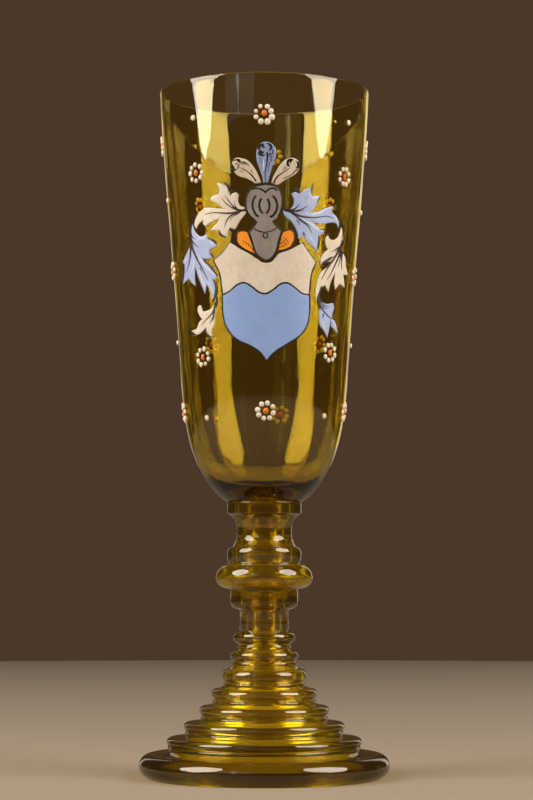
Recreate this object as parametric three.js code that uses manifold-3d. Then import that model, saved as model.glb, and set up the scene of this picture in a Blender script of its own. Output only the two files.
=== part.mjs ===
// A tall hollow-stemmed glass goblet with painted enamel decoration.
// Millimetres, +Z up. The origin is the centre of the ring that the foot stands on.
// The painted front faces -Y.

import * as THREE from "three";
import { mergeVertices } from "three/addons/utils/BufferGeometryUtils.js";
import Module from "manifold-3d";

const wasm = await Module();
wasm.setup();

// Driving dimensions: the pieces are stacked, so each has its own height.

const FOOT_RIM = {
  height: 11.9,
  radius: 54.45,
  tube: 5.1,
  seatInner: 47.4,
  seatOuter: 51.2,
  hollow: 44.6,
  hollowHeight: 1.6,
  valleyOut: 2.0,
  valleyDepth: 2.3,
};
const FOOT_RINGS = [
  { name: "foot_ring_6", height: 6.4, radius: 42.4, noseLevel: 3.4, noseHalf: 1.9, noseDepth: 2.1 },
  { name: "foot_ring_5", height: 6.4, radius: 35.0, noseLevel: 3.6, noseHalf: 1.9, noseDepth: 2.1 },
  { name: "foot_ring_4", height: 7.1, radius: 28.25, noseLevel: 4.0, noseHalf: 2.1, noseDepth: 2.2 },
  { name: "foot_ring_3", height: 7.5, radius: 23.1, noseLevel: 4.1, noseHalf: 2.2, noseDepth: 2.2 },
  { name: "foot_ring_2", height: 9.0, radius: 18.5, noseLevel: 4.5, noseHalf: 2.6, noseDepth: 2.6 },
  { name: "foot_ring_1", height: 7.2, radius: 15.0, noseLevel: 4.1, noseHalf: 2.3, noseDepth: 2.5 },
];
const STEM_RING = { height: 7.8, radius: 13.6, noseLevel: 4.8, noseHalf: 2.8, noseDepth: 2.4 };
const RING_NECK_RADIUS = 11.8;
const RING_BEAD = { height: 0.9, inset: 0.48 };
const FOOT_RING_WALL = 3.4;

// The stem is thick-walled: its hollow is narrow in the shaft and the neck and wide in the knop.
const BORE = {
  stemRing: 7.2,
  shaft: 5.4,
  collar: 8.0,
  knop: 16.0,
  shoulder: 9.8,
  neckFoot: 8.8,
  neck: 6.3,
  merese: 8.4,
};

const SHAFT = { height: 9.2, radius: 10.65 };
const LOWER_COLLAR = { height: 8.8, radius: 14.9, roundedBy: 2.9 };
const KNOP = { height: 11.3, radius: 21.35, equator: 5.1 };
const SHOULDER = { height: 6.5, radius: 16.4, topRadius: 15.9, roundedBy: 1.2 };
const NECK = { height: 14.8, radius: 12.15, straightFrom: 5.0, straightTo: 9.3 };
const MERESE = { height: 5.3, radius: 16.4, edge: 0.3 };

const BOWL = {
  height: 180.8,
  rimRadius: 46.5,
  waistRadius: 37.1,
  waistHeight: 56.4,
  tailRadius: 16.6,
  rimWall: 1.6,
  waistWall: 2.4,
  floor: 2.8,
};

// The outside of the bowl is two cubic curves that meet at the waist. Each control point is given as
// the share of the way from the curve's lower end to its upper end, outwards and upwards.
const WALL_CONTROLS = [{ out: 0.31, up: 0.365 }, { out: 0.87, up: 0.743 }];
const BASE_CONTROLS = [{ out: 0.754, up: 0.186 }, { out: 0.917, up: 0.543 }];
const INSIDE_CONTROLS = [{ out: 0.81, up: 0 }, { out: 0.955, up: 0.34 }];

// The stem's neck is a cove below its straight stretch and a flare above it, in the same kind of shares.
const NECK_COVE = [{ out: 0.5, up: 0.35 }, { out: 0.88, up: 0.75 }];
const NECK_FLARE = [{ out: 0.45, up: 0.55 }];

// Angles of the corners on the round profiles, in degrees: 0 points outwards and 90 points up.
const NOSE_CORNERS = [-75, -34, 8, 49, 90];
const FOOT_RIM_CORNERS = [-45, -20, 0, 25, 50, 80, 105];
const COLLAR_CORNERS = [-60, -30, 0];
const KNOP_UNDER_CORNERS = [-80, -55, -25, 0];
const KNOP_OVER_CORNERS = [25, 50, 75];
const LIP_CORNERS = [45, 90, 135];

const WALL_STEPS = 9;
const BASE_STEPS = 7;
const INSIDE_STEPS = 8;

const BOWL_SIDES = 48;
const STEM_SIDES = 32;

// The enamel lies on the outside of the bowl. The decoration is drawn for a bowl of DRAWN_RADIUS at
// the level of the shield's shoulders, and it shrinks and grows with the bowl.
const ENAMEL_GAP = 0.3;
const ENAMEL_THICKNESS = 0.4;
const SHIELD_BELOW_RIM = 80;
const DRAWN_RADIUS = 40.5;
const FIELD_GAP = 0.3;
const WAVE = { level: -11.5, height: 2.4, length: 18, left: -17.7, right: 19.1, steps: 12 };
const FLOWER = { radius: 4.6, scallop: 0.5, petals: 8 };
const DOT = { radius: 1.2, corners: 8 };
const MERGE_DISTANCE = 1e-4;

const GLASS = { color: 0x8a7a1e, roughness: 0.05, metalness: 0, transparent: true, opacity: 0.45 };
const CREAM = { color: 0xe4d4bc, roughness: 0.35, metalness: 0 };
const BLUE = { color: 0x8ca5d7, roughness: 0.35, metalness: 0 };
const GREY = { color: 0x8c8278, roughness: 0.4, metalness: 0 };
const ORANGE = { color: 0xf58c14, roughness: 0.35, metalness: 0 };

// Painted outlines in the decoration's own frame: x to the right, height from the shield's shoulders.

const SHIELD_LEFT = [
  [-21.6, 0.9], [-19.0, -4.6], [-18.0, -10.7], [-17.7, -16.4], [-17.5, -22.1], [-16.2, -27.1], [-13.4, -31.3],
  [-10.4, -33.7], [-6.5, -35.5], [-2.0, -38.4], [1.0, -42.3],
];
const SHIELD_RIGHT = [
  [1.0, -42.3], [4.1, -38.7], [9.3, -35.2], [15.0, -31.3], [18.0, -27.0], [19.1, -22.0], [19.2, -16.7],
  [19.3, -10.6], [20.1, -4.5], [22.0, 0.2],
];
const SHIELD_TOP = [
  [18.9, 4.2], [16.2, 8.2], [10.8, 5.1], [6.0, 3.2], [4.7, 1.4], [3.2, -0.4], [0.9, -0.9], [-1.2, -0.5],
  [-3.2, 1.0], [-6.2, 3.2], [-10.0, 5.3], [-14.4, 8.3], [-17.3, 4.5],
];
const HELM = [
  [0.5, 32.2], [-3.1, 31.6], [-5.1, 30.7], [-7.2, 27.9], [-7.8, 24.1], [-7.2, 20.9], [-5.8, 18.8], [-3.2, 16.4],
  [-4.3, 14.6], [-6.6, 12.5], [-5.5, 9.5], [-3.9, 4.2], [-2.3, 1.9], [0.9, 0.2], [3.7, 2.0], [5.2, 5.0],
  [6.1, 8.8], [7.4, 12.8], [5.1, 14.7], [3.4, 16.7], [5.8, 18.6], [7.1, 21.8], [7.6, 25.1], [6.8, 29.4],
  [4.3, 31.6],
];
const PLUME_CENTRE = [
  [-0.5, 32.9], [-0.8, 35.2], [-1.9, 38.4], [-3.1, 41.9], [-3.3, 45.4], [-2.7, 48.1], [-1.2, 49.7], [0.6, 50.2],
  [2.8, 49.7], [4.3, 48.1], [5.0, 45.7], [4.5, 42.8], [3.4, 40.0], [2.7, 37.3], [1.9, 34.7], [1.5, 32.9],
];
const PLUME_LEFT = [
  [-1.4, 32.9], [-2.2, 35.2], [-3.6, 38.1], [-5.5, 40.9], [-7.4, 42.6], [-9.3, 43.3], [-11.5, 43.7],
  [-13.1, 42.8], [-13.9, 41.0], [-13.4, 39.0], [-12.2, 37.1], [-10.3, 35.7], [-7.6, 34.8], [-5.1, 33.5],
  [-3.7, 32.6],
];
const PLUME_RIGHT = [
  [3.0, 32.9], [3.5, 34.7], [4.8, 37.4], [6.4, 40.1], [8.3, 42.3], [10.5, 43.5], [12.6, 43.6], [14.5, 42.4],
  [14.9, 40.5], [14.3, 38.3], [12.4, 36.3], [9.7, 34.8], [7.3, 33.1], [5.4, 32.0],
];
const LINING_LEFT = [
  [-7.4, 12.3], [-9.0, 12.8], [-11.0, 12.4], [-11.6, 10.7], [-11.5, 8.2], [-10.0, 6.2], [-7.3, 4.4], [-3.4, 2.6],
  [-4.9, 6.0], [-6.1, 9.2],
];
const LINING_RIGHT = [
  [5.9, 4.3], [8.6, 4.9], [11.2, 6.2], [12.6, 9.0], [12.6, 11.7], [11.5, 13.0], [10.0, 13.2], [8.5, 12.4],
  [7.5, 10.9], [6.7, 7.6],
];
const LEAF_UPPER_LEFT = [
  [-7.9, 20.9], [-8.5, 22.7], [-10.2, 23.4], [-11.1, 25.3], [-10.9, 28.2], [-12.1, 29.2], [-13.8, 28.5],
  [-14.5, 27.4], [-14.7, 29.3], [-16.0, 31.8], [-17.9, 33.0], [-20.5, 34.0], [-19.3, 31.5], [-19.3, 29.4],
  [-22.2, 28.0], [-23.4, 26.5], [-20.7, 25.5], [-18.3, 23.4], [-16.4, 22.3], [-20.2, 22.9], [-25.0, 23.6],
  [-27.9, 21.8], [-29.6, 19.0], [-29.9, 16.7], [-28.9, 15.1], [-28.1, 16.9], [-25.9, 18.5], [-26.2, 17.1],
  [-25.0, 15.6], [-22.5, 17.2], [-19.2, 18.3], [-20.6, 16.1], [-23.0, 13.9], [-20.1, 13.4], [-18.9, 12.6],
  [-18.2, 10.7], [-15.8, 10.0], [-15.3, 12.4], [-14.2, 14.2], [-12.3, 13.4], [-11.5, 14.9], [-10.1, 17.3],
  [-7.9, 20.0],
];
const LEAF_UPPER_RIGHT = [
  [7.9, 21.0], [8.6, 22.2], [10.8, 22.0], [12.4, 24.0], [12.4, 26.4], [11.4, 28.4], [13.1, 29.4], [14.7, 28.6],
  [16.9, 30.4], [19.3, 31.5], [20.7, 33.1], [20.0, 30.2], [20.5, 27.9], [24.1, 28.6], [23.1, 26.2],
  [21.7, 23.7], [19.6, 21.2], [22.7, 21.7], [25.6, 23.4], [29.5, 25.0], [28.6, 22.2], [30.1, 21.4],
  [31.3, 20.2], [32.1, 18.0], [31.7, 15.9], [31.1, 17.3], [29.6, 18.0], [26.7, 17.2], [23.2, 16.5],
  [19.9, 17.4], [22.8, 15.3], [25.7, 13.5], [22.8, 11.1], [23.3, 8.7], [22.4, 4.6], [19.9, 7.0], [17.5, 9.2],
  [16.6, 11.5], [15.6, 10.0], [14.2, 9.9], [14.2, 11.3], [13.2, 14.1], [11.3, 16.9], [8.9, 18.7],
];
const LEAF_LOWER_LEFT = [
  [-30.7, 18.4], [-31.3, 14.1], [-31.0, 9.7], [-32.8, 6.7], [-34.3, 3.7], [-35.3, 2.0], [-34.3, 0.6],
  [-34.5, -3.9], [-35.1, -7.1], [-32.4, -5.5], [-31.2, -7.4], [-29.2, -9.1], [-29.7, -5.7], [-29.5, -0.9],
  [-28.2, -5.4], [-26.7, -9.4], [-25.2, -13.1], [-24.5, -9.1], [-22.8, -12.1], [-21.8, -16.7], [-20.6, -13.2],
  [-20.4, -9.9], [-21.4, -7.0], [-19.8, -6.5], [-21.9, -2.7], [-25.3, 0.4], [-26.3, 2.4], [-24.4, 1.8],
  [-22.1, 2.2], [-23.2, 4.0], [-22.9, 5.9], [-20.1, 6.6], [-20.5, 8.5], [-24.0, 10.2], [-24.0, 13.1],
  [-25.4, 12.1], [-27.4, 11.8], [-29.4, 13.9], [-30.4, 16.4],
];
const LEAF_LOWER_RIGHT = [
  [33.1, 17.0], [33.9, 14.5], [33.9, 10.2], [33.4, 6.8], [35.0, 3.8], [35.3, 0.1], [36.3, -3.0], [34.1, -3.5],
  [34.7, -8.8], [32.3, -7.6], [30.4, -10.5], [29.9, -7.6], [30.3, -3.2], [28.4, -7.8], [27.4, -11.9],
  [25.7, -9.0], [24.0, -11.5], [22.1, -16.0], [21.6, -12.7], [22.3, -7.9], [23.9, -4.0], [26.8, -1.3],
  [28.8, 1.3], [25.8, 0.5], [23.9, -0.7], [23.9, 1.7], [25.1, 4.2], [27.2, 6.3], [26.2, 7.7], [26.0, 10.9],
  [27.2, 12.3], [28.2, 10.7], [30.2, 10.8], [31.9, 12.7], [32.5, 14.6],
];
const LEAF_TAIL_LEFT = [
  [-20.1, -15.2], [-22.7, -19.3], [-26.1, -20.3], [-27.1, -17.4], [-28.1, -17.5], [-28.6, -19.6], [-27.6, -22.1],
  [-26.6, -23.4], [-28.1, -24.9], [-29.0, -27.2], [-31.3, -27.8], [-29.5, -30.0], [-27.5, -29.5],
  [-24.8, -27.4], [-24.3, -29.5], [-21.9, -31.6], [-22.2, -28.8], [-21.0, -26.0], [-20.8, -23.2],
  [-20.1, -17.5],
];
const LEAF_TAIL_RIGHT = [
  [23.6, -14.8], [24.3, -15.9], [26.5, -17.0], [29.2, -16.2], [30.0, -18.0], [29.3, -20.4], [29.0, -22.4],
  [30.6, -24.6], [31.6, -28.9], [28.1, -25.8], [27.6, -28.3], [26.9, -31.5], [25.6, -28.9], [23.6, -26.3],
  [23.2, -23.0], [23.2, -18.3],
];

// Azimuth from the front, in degrees towards +X, and height from the shield's shoulders.
const FLOWERS = {
  front: [[0, 62.3], [-42, 39], [52, 38.3], [-44.5, -39.6], [48.5, -37.6], [1, -63.3]],
  side: [[-88, 56.1], [88, 54.3], [-80, 0], [78, -2.7], [-81, -62.1], [79, -61.8]],
  back: [[174, 59.8], [-135, 34], [135, 34], [180, 0], [-139, -28.9], [136, -29], [168, -60.2]],
};
const DOTS = {
  front: [[-42, 62.6], [53, 61.7], [-44.5, -65.6], [47, -64.7]],
  side: [[-79, 30.9], [83.5, 26.1], [-85.5, -31.1], [88, -32.3]],
  back: [[-134.5, 61.9], [136, 58.8], [-141, -62.5]],
};

const goblet = new THREE.Group();

function addPiece(group, name, geometry, finish) {
  const piece = new THREE.Mesh(geometry, new THREE.MeshStandardMaterial(finish));
  piece.name = name;
  group.add(piece);
  return piece;
}

function turned(profile, sides) {
  const points = profile.map(([radius, height]) => new THREE.Vector2(radius, height));
  return new THREE.LatheGeometry(points, sides).rotateX(Math.PI / 2);
}

function closedRing(outside, inside, sides) {
  const profile = [...outside, ...inside.slice().reverse(), outside[0]];
  return turned(profile, sides);
}

// Points of a cubic curve from start to end; its controls are shares of the way between the two.
function curvePoints(start, end, controls, steps) {
  const between = ({ out, up }) => new THREE.Vector2(
    THREE.MathUtils.lerp(start[0], end[0], out),
    THREE.MathUtils.lerp(start[1], end[1], up),
  );
  const curve = new THREE.CubicBezierCurve(
    new THREE.Vector2(...start), between(controls[0]), between(controls[1]), new THREE.Vector2(...end),
  );
  return curve.getPoints(steps).map((point) => [point.x, point.y]);
}

// Corners of an elliptical arc round a centre, at the given angles.
function arcCorners([centreRadius, centreHeight], acrossRadius, upRadius, degrees) {
  return degrees.map((angle) => {
    const turn = THREE.MathUtils.degToRad(angle);
    return [centreRadius + acrossRadius * Math.cos(turn), centreHeight + upRadius * Math.sin(turn)];
  });
}

// A ring's lower end is a bead a little slimmer than its nose; the ring below ends at that radius.
function beadRadius(ring) {
  return ring.radius - RING_BEAD.inset;
}

function ringSolid(ring, topRadius, bottomRadius, topBore, bottomBore) {
  const { height, radius, noseLevel, noseHalf, noseDepth } = ring;
  const outside = [
    [bottomRadius, 0],
    [bottomRadius, RING_BEAD.height],
    ...arcCorners([radius - noseDepth, noseLevel], noseDepth, noseHalf, NOSE_CORNERS),
    [topRadius, height],
  ];
  const inside = [[bottomBore, 0], [topBore, height]];
  return closedRing(outside, inside, STEM_SIDES);
}

function footRimSolid(topRadius) {
  const { height, radius, tube, seatInner, seatOuter } = FOOT_RIM;
  const { hollow, hollowHeight, valleyOut, valleyDepth } = FOOT_RIM;
  const outside = [
    [seatOuter, 0],
    ...arcCorners([radius - tube, tube], tube, tube, FOOT_RIM_CORNERS),
    [topRadius + valleyOut, height - valleyDepth],
    [topRadius, height],
  ];
  const inside = [[seatInner, 0], [hollow, hollowHeight], [topRadius - FOOT_RING_WALL, height]];
  return closedRing(outside, inside, STEM_SIDES);
}

function shaftSolid() {
  const outside = [[SHAFT.radius, 0], [SHAFT.radius, SHAFT.height]];
  const inside = [[BORE.shaft, 0], [BORE.shaft, SHAFT.height]];
  return closedRing(outside, inside, STEM_SIDES);
}

function lowerCollarSolid() {
  const { height, radius, roundedBy } = LOWER_COLLAR;
  const reach = radius - SHAFT.radius;
  const outside = [
    [SHAFT.radius, 0],
    ...arcCorners([SHAFT.radius, roundedBy], reach, roundedBy, COLLAR_CORNERS),
    [radius, height],
  ];
  const inside = [[BORE.shaft, 0], [BORE.collar, height]];
  return closedRing(outside, inside, STEM_SIDES);
}

function knopSolid() {
  const { height, radius, equator } = KNOP;
  const under = arcCorners(
    [LOWER_COLLAR.radius, equator], radius - LOWER_COLLAR.radius, equator, KNOP_UNDER_CORNERS,
  );
  const over = arcCorners(
    [SHOULDER.radius, equator], radius - SHOULDER.radius, height - equator, KNOP_OVER_CORNERS,
  );
  const outside = [[LOWER_COLLAR.radius, 0], ...under, ...over, [SHOULDER.radius, height]];
  const inside = [[BORE.collar, 0], [BORE.knop, equator], [BORE.shoulder, height]];
  return closedRing(outside, inside, STEM_SIDES);
}

function shoulderSolid() {
  const { height, radius, topRadius, roundedBy } = SHOULDER;
  const outside = [[radius, 0], [radius, height - roundedBy], [topRadius, height]];
  const inside = [[BORE.shoulder, 0], [BORE.neckFoot, height]];
  return closedRing(outside, inside, STEM_SIDES);
}

function neckSolid() {
  const { height, radius, straightFrom, straightTo } = NECK;
  const corners = (start, end, shares) => shares.map(({ out, up }) => [
    THREE.MathUtils.lerp(start[0], end[0], out),
    THREE.MathUtils.lerp(start[1], end[1], up),
  ]);
  const foot = [SHOULDER.topRadius, 0];
  const bandBottom = [radius, straightFrom];
  const bandTop = [radius, straightTo];
  const head = [MERESE.radius - MERESE.edge, height];
  const outside = [
    foot, ...corners(foot, bandBottom, NECK_COVE), bandBottom,
    bandTop, ...corners(bandTop, head, NECK_FLARE), head,
  ];
  const inside = [[BORE.neckFoot, 0], [BORE.neck, straightFrom], [BORE.neck, straightTo], [BORE.merese, height]];
  return closedRing(outside, inside, STEM_SIDES);
}

function mereseSolid() {
  const { height, radius, edge } = MERESE;
  const outside = [[radius - edge, 0], [radius, edge], [radius, height - edge], [radius - edge, height]];
  const inside = [[BORE.merese, 0], [BORE.merese, height]];
  return closedRing(outside, inside, STEM_SIDES);
}

function bowlOutside() {
  const { height, rimRadius, waistRadius, waistHeight, tailRadius, rimWall } = BOWL;
  const waist = [waistRadius, waistHeight];
  const base = curvePoints([tailRadius, 0], waist, BASE_CONTROLS, BASE_STEPS);
  const wall = curvePoints(waist, [rimRadius, height - rimWall / 2], WALL_CONTROLS, WALL_STEPS);
  return [...base, ...wall.slice(1)];
}

function bowlSolid() {
  const { height, rimRadius, waistRadius, waistHeight, rimWall, waistWall, floor } = BOWL;
  const innerWaist = [waistRadius - waistWall, waistHeight];
  const insideBase = curvePoints([0, floor], innerWaist, INSIDE_CONTROLS, INSIDE_STEPS);
  const halfWall = rimWall / 2;
  const innerRim = [rimRadius - rimWall, height - halfWall];
  const insideWall = curvePoints(innerWaist, innerRim, WALL_CONTROLS, WALL_STEPS);
  const lip = arcCorners([rimRadius - halfWall, height - halfWall], halfWall, halfWall, LIP_CORNERS);
  const inside = [...insideBase, ...insideWall.slice(1)];
  return turned([[0, 0], ...bowlOutside(), ...lip, ...inside.reverse()], BOWL_SIDES);
}

function toSolid(geometry) {
  const plain = geometry.clone();
  plain.deleteAttribute("normal");
  plain.deleteAttribute("uv");
  const merged = mergeVertices(plain, MERGE_DISTANCE);
  return new wasm.Manifold(new wasm.Mesh({
    numProp: 3,
    vertProperties: Float32Array.from(merged.attributes.position.array),
    triVerts: Uint32Array.from(merged.index.array),
  }));
}

function toGeometry(solid) {
  const mesh = solid.getMesh();
  const geometry = new THREE.BufferGeometry();
  geometry.setAttribute("position", new THREE.Float32BufferAttribute(mesh.vertProperties, 3));
  geometry.setIndex(Array.from(mesh.triVerts));
  return geometry;
}

function enamelShell() {
  const outline = bowlOutside();
  const lower = outline.map(([radius, height]) => [radius + ENAMEL_GAP, height]);
  const upper = outline.map(([radius, height]) => [radius + ENAMEL_GAP + ENAMEL_THICKNESS, height]);
  return toSolid(closedRing(upper, lower, BOWL_SIDES));
}

// Radius of the bowl's outside at a height above its own base.
function bowlRadiusAt(height) {
  const outline = bowlOutside();
  const above = outline.findIndex((point) => point[1] >= height);
  const [low, high] = [outline[above - 1], outline[above]];
  return THREE.MathUtils.mapLinear(height, low[1], high[1], low[0], high[0]);
}

const shieldLevel = BOWL.height - SHIELD_BELOW_RIM;
const artScale = bowlRadiusAt(shieldLevel) / DRAWN_RADIUS;
const shell = enamelShell();

// The part of the enamel shell that lies behind a painted outline, seen from its own azimuth.
function enamelPiece(group, name, outline, finish, azimuth = 0, level = 0) {
  const shape = new THREE.Shape(outline.map(([x, y]) => new THREE.Vector2(x * artScale, y * artScale)));
  const reach = 2 * BOWL.rimRadius;
  const prism = new THREE.ExtrudeGeometry(shape, { depth: reach, bevelEnabled: false });
  prism.rotateX(Math.PI / 2);
  prism.translate(0, 0, shieldLevel + level * artScale);
  prism.rotateZ(THREE.MathUtils.degToRad(azimuth));
  const piece = shell.intersect(toSolid(prism));
  addPiece(group, name, toGeometry(piece), finish);
}

function waveHeight(x) {
  return WAVE.level - WAVE.height * Math.cos((2 * Math.PI * x) / WAVE.length);
}

// The shield is parted by a wavy line, which each field follows at half of the gap between them.
function shieldFields(group) {
  const isAbove = ([x, y]) => y > waveHeight(x) + FIELD_GAP;
  const isBelow = ([x, y]) => y < waveHeight(x) - FIELD_GAP;
  const wave = Array.from({ length: WAVE.steps + 1 }, (_, step) => {
    const x = THREE.MathUtils.lerp(WAVE.left, WAVE.right, step / WAVE.steps);
    return [x, waveHeight(x)];
  });
  const upperEdge = wave.map(([x, y]) => [x, y + FIELD_GAP / 2]);
  const lowerEdge = wave.map(([x, y]) => [x, y - FIELD_GAP / 2]);
  const upper = [...SHIELD_LEFT.filter(isAbove), ...upperEdge, ...SHIELD_RIGHT.filter(isAbove), ...SHIELD_TOP];
  const lower = [
    ...lowerEdge.slice().reverse(),
    ...SHIELD_LEFT.filter(isBelow).slice(0, -1),
    ...SHIELD_RIGHT.filter(isBelow),
  ];
  enamelPiece(group, "shield_upper_field", upper, CREAM);
  enamelPiece(group, "shield_lower_field", lower, BLUE);
}

function flowerOutline() {
  const { radius, scallop, petals } = FLOWER;
  const corners = petals * 2;
  return Array.from({ length: corners }, (_, corner) => {
    const turn = (2 * Math.PI * corner) / corners;
    const reach = corner % 2 === 0 ? radius : radius - scallop;
    return [reach * Math.cos(turn), reach * Math.sin(turn)];
  });
}

function dotOutline() {
  const { radius, corners } = DOT;
  return Array.from({ length: corners }, (_, corner) => {
    const turn = (2 * Math.PI * corner) / corners;
    return [radius * Math.cos(turn), radius * Math.sin(turn)];
  });
}

function scatter(group, stem, places, outline) {
  for (const [side, list] of Object.entries(places)) {
    list.forEach(([azimuth, level], index) => {
      enamelPiece(group, `${stem}_${side}_${index + 1}`, outline, CREAM, azimuth, level);
    });
  }
}

function paintedDecoration(group) {
  shieldFields(group);
  enamelPiece(group, "helm", HELM, GREY);
  enamelPiece(group, "plume_centre", PLUME_CENTRE, BLUE);
  enamelPiece(group, "plume_left", PLUME_LEFT, CREAM);
  enamelPiece(group, "plume_right", PLUME_RIGHT, CREAM);
  enamelPiece(group, "lining_left", LINING_LEFT, ORANGE);
  enamelPiece(group, "lining_right", LINING_RIGHT, ORANGE);
  enamelPiece(group, "leaf_upper_left", LEAF_UPPER_LEFT, CREAM);
  enamelPiece(group, "leaf_upper_right", LEAF_UPPER_RIGHT, BLUE);
  enamelPiece(group, "leaf_lower_left", LEAF_LOWER_LEFT, BLUE);
  enamelPiece(group, "leaf_lower_right", LEAF_LOWER_RIGHT, CREAM);
  enamelPiece(group, "leaf_tail_left", LEAF_TAIL_LEFT, CREAM);
  enamelPiece(group, "leaf_tail_right", LEAF_TAIL_RIGHT, BLUE);
  scatter(group, "flower", FLOWERS, flowerOutline());
  scatter(group, "dot", DOTS, dotOutline());
}

// The glass pieces are stacked from the table up, each standing on the flat end of the one below.
let level = 0;

function stack(name, geometry, height) {
  const piece = addPiece(goblet, name, geometry, GLASS);
  piece.position.z = level;
  level += height;
}

stack("foot_rim", footRimSolid(beadRadius(FOOT_RINGS[0])), FOOT_RIM.height);
FOOT_RINGS.forEach((ring, index) => {
  const above = FOOT_RINGS[index + 1];
  const topRadius = above ? beadRadius(above) : RING_NECK_RADIUS;
  const topBore = above ? topRadius - FOOT_RING_WALL : BORE.stemRing;
  const bottomBore = beadRadius(ring) - FOOT_RING_WALL;
  stack(ring.name, ringSolid(ring, topRadius, beadRadius(ring), topBore, bottomBore), ring.height);
});
const stemRing = ringSolid(STEM_RING, SHAFT.radius, RING_NECK_RADIUS, BORE.shaft, BORE.stemRing);
stack("stem_ring", stemRing, STEM_RING.height);
stack("stem_shaft", shaftSolid(), SHAFT.height);
stack("lower_collar", lowerCollarSolid(), LOWER_COLLAR.height);
stack("knop", knopSolid(), KNOP.height);
stack("shoulder_collar", shoulderSolid(), SHOULDER.height);
stack("stem_neck", neckSolid(), NECK.height);
stack("merese", mereseSolid(), MERESE.height);

const decoration = new THREE.Group();
decoration.position.z = level;
stack("bowl", bowlSolid(), BOWL.height);
paintedDecoration(decoration);
goblet.add(decoration);

export default goblet;
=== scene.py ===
# A tall glass goblet with painted enamel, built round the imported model's frame.
# Profiles and painted outlines are in millimetres, and every mesh is written in metres.

import bisect
import math
import random

import bmesh
import bpy
import numpy as np
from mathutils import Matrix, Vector, noise
from mathutils.geometry import delaunay_2d_cdt


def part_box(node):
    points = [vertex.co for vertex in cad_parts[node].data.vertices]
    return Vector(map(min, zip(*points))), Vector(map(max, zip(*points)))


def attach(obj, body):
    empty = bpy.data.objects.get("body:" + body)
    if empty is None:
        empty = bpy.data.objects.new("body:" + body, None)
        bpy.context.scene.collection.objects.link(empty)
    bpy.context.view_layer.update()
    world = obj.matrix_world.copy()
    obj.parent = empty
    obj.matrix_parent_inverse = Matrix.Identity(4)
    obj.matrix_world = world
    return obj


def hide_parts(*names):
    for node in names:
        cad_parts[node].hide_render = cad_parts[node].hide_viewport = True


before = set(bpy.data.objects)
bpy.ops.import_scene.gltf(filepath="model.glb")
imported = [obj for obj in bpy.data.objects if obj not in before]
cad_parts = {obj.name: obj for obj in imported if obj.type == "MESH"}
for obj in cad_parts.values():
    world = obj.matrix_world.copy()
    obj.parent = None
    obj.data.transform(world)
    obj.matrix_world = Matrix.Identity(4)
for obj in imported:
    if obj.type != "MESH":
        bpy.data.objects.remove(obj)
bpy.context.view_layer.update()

MM = 0.001

# Colours are written as in sRGB, from 0 to 255.
BACKDROP = (74, 56, 42)
FLOOR = (132, 123, 112)

# The camera that fits the photograph.
CAMERA_PLACE = (0.0, -0.9944, 0.08867)
CAMERA_PITCH = 4.332
CAMERA_YAW = -0.056
CAMERA_LENS = 102.2
CAMERA_SENSOR = 36.0
CAMERA_CLIP = 0.01

FLOOR_RADIUS = 1.31
FLOOR_SIDES = 256
FLOOR_ROUGHNESS = 0.7
FLOOR_SPECULAR = 0.2

# The painting on the bowl, drawn in its own frame in millimetres: x to the right seen from the front,
# and height from the shield's shoulders.

SHIELD_BELOW_RIM = 80
SHIELD_LEFT = (
    (-21.6, 0.9), (-19.0, -4.6), (-18.0, -10.7), (-17.7, -16.4), (-17.5, -22.1), (-16.2, -27.1),
    (-13.4, -31.3), (-10.4, -33.7), (-6.5, -35.5), (-2.0, -38.4), (1.0, -42.3),
)
SHIELD_RIGHT = (
    (1.0, -42.3), (4.1, -38.7), (9.3, -35.2), (15.0, -31.3), (18.0, -27.0), (19.1, -22.0),
    (19.2, -16.7), (19.3, -10.6), (20.1, -4.5), (22.0, 0.2),
)
SHIELD_TOP = (
    (18.9, 4.2), (16.2, 8.2), (10.8, 5.1), (6.0, 3.2), (4.7, 1.4), (3.2, -0.4), (0.9, -0.9),
    (-1.2, -0.5), (-3.2, 1.0), (-6.2, 3.2), (-10.0, 5.3), (-14.4, 8.3), (-17.3, 4.5),
)
WAVE_LEVEL = -11.5
WAVE_HEIGHT = 2.4
WAVE_LENGTH = 18.0
WAVE_LEFT = -17.7
WAVE_RIGHT = 19.1
WAVE_STEPS = 12
FIELD_GAP = 0.3

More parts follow.
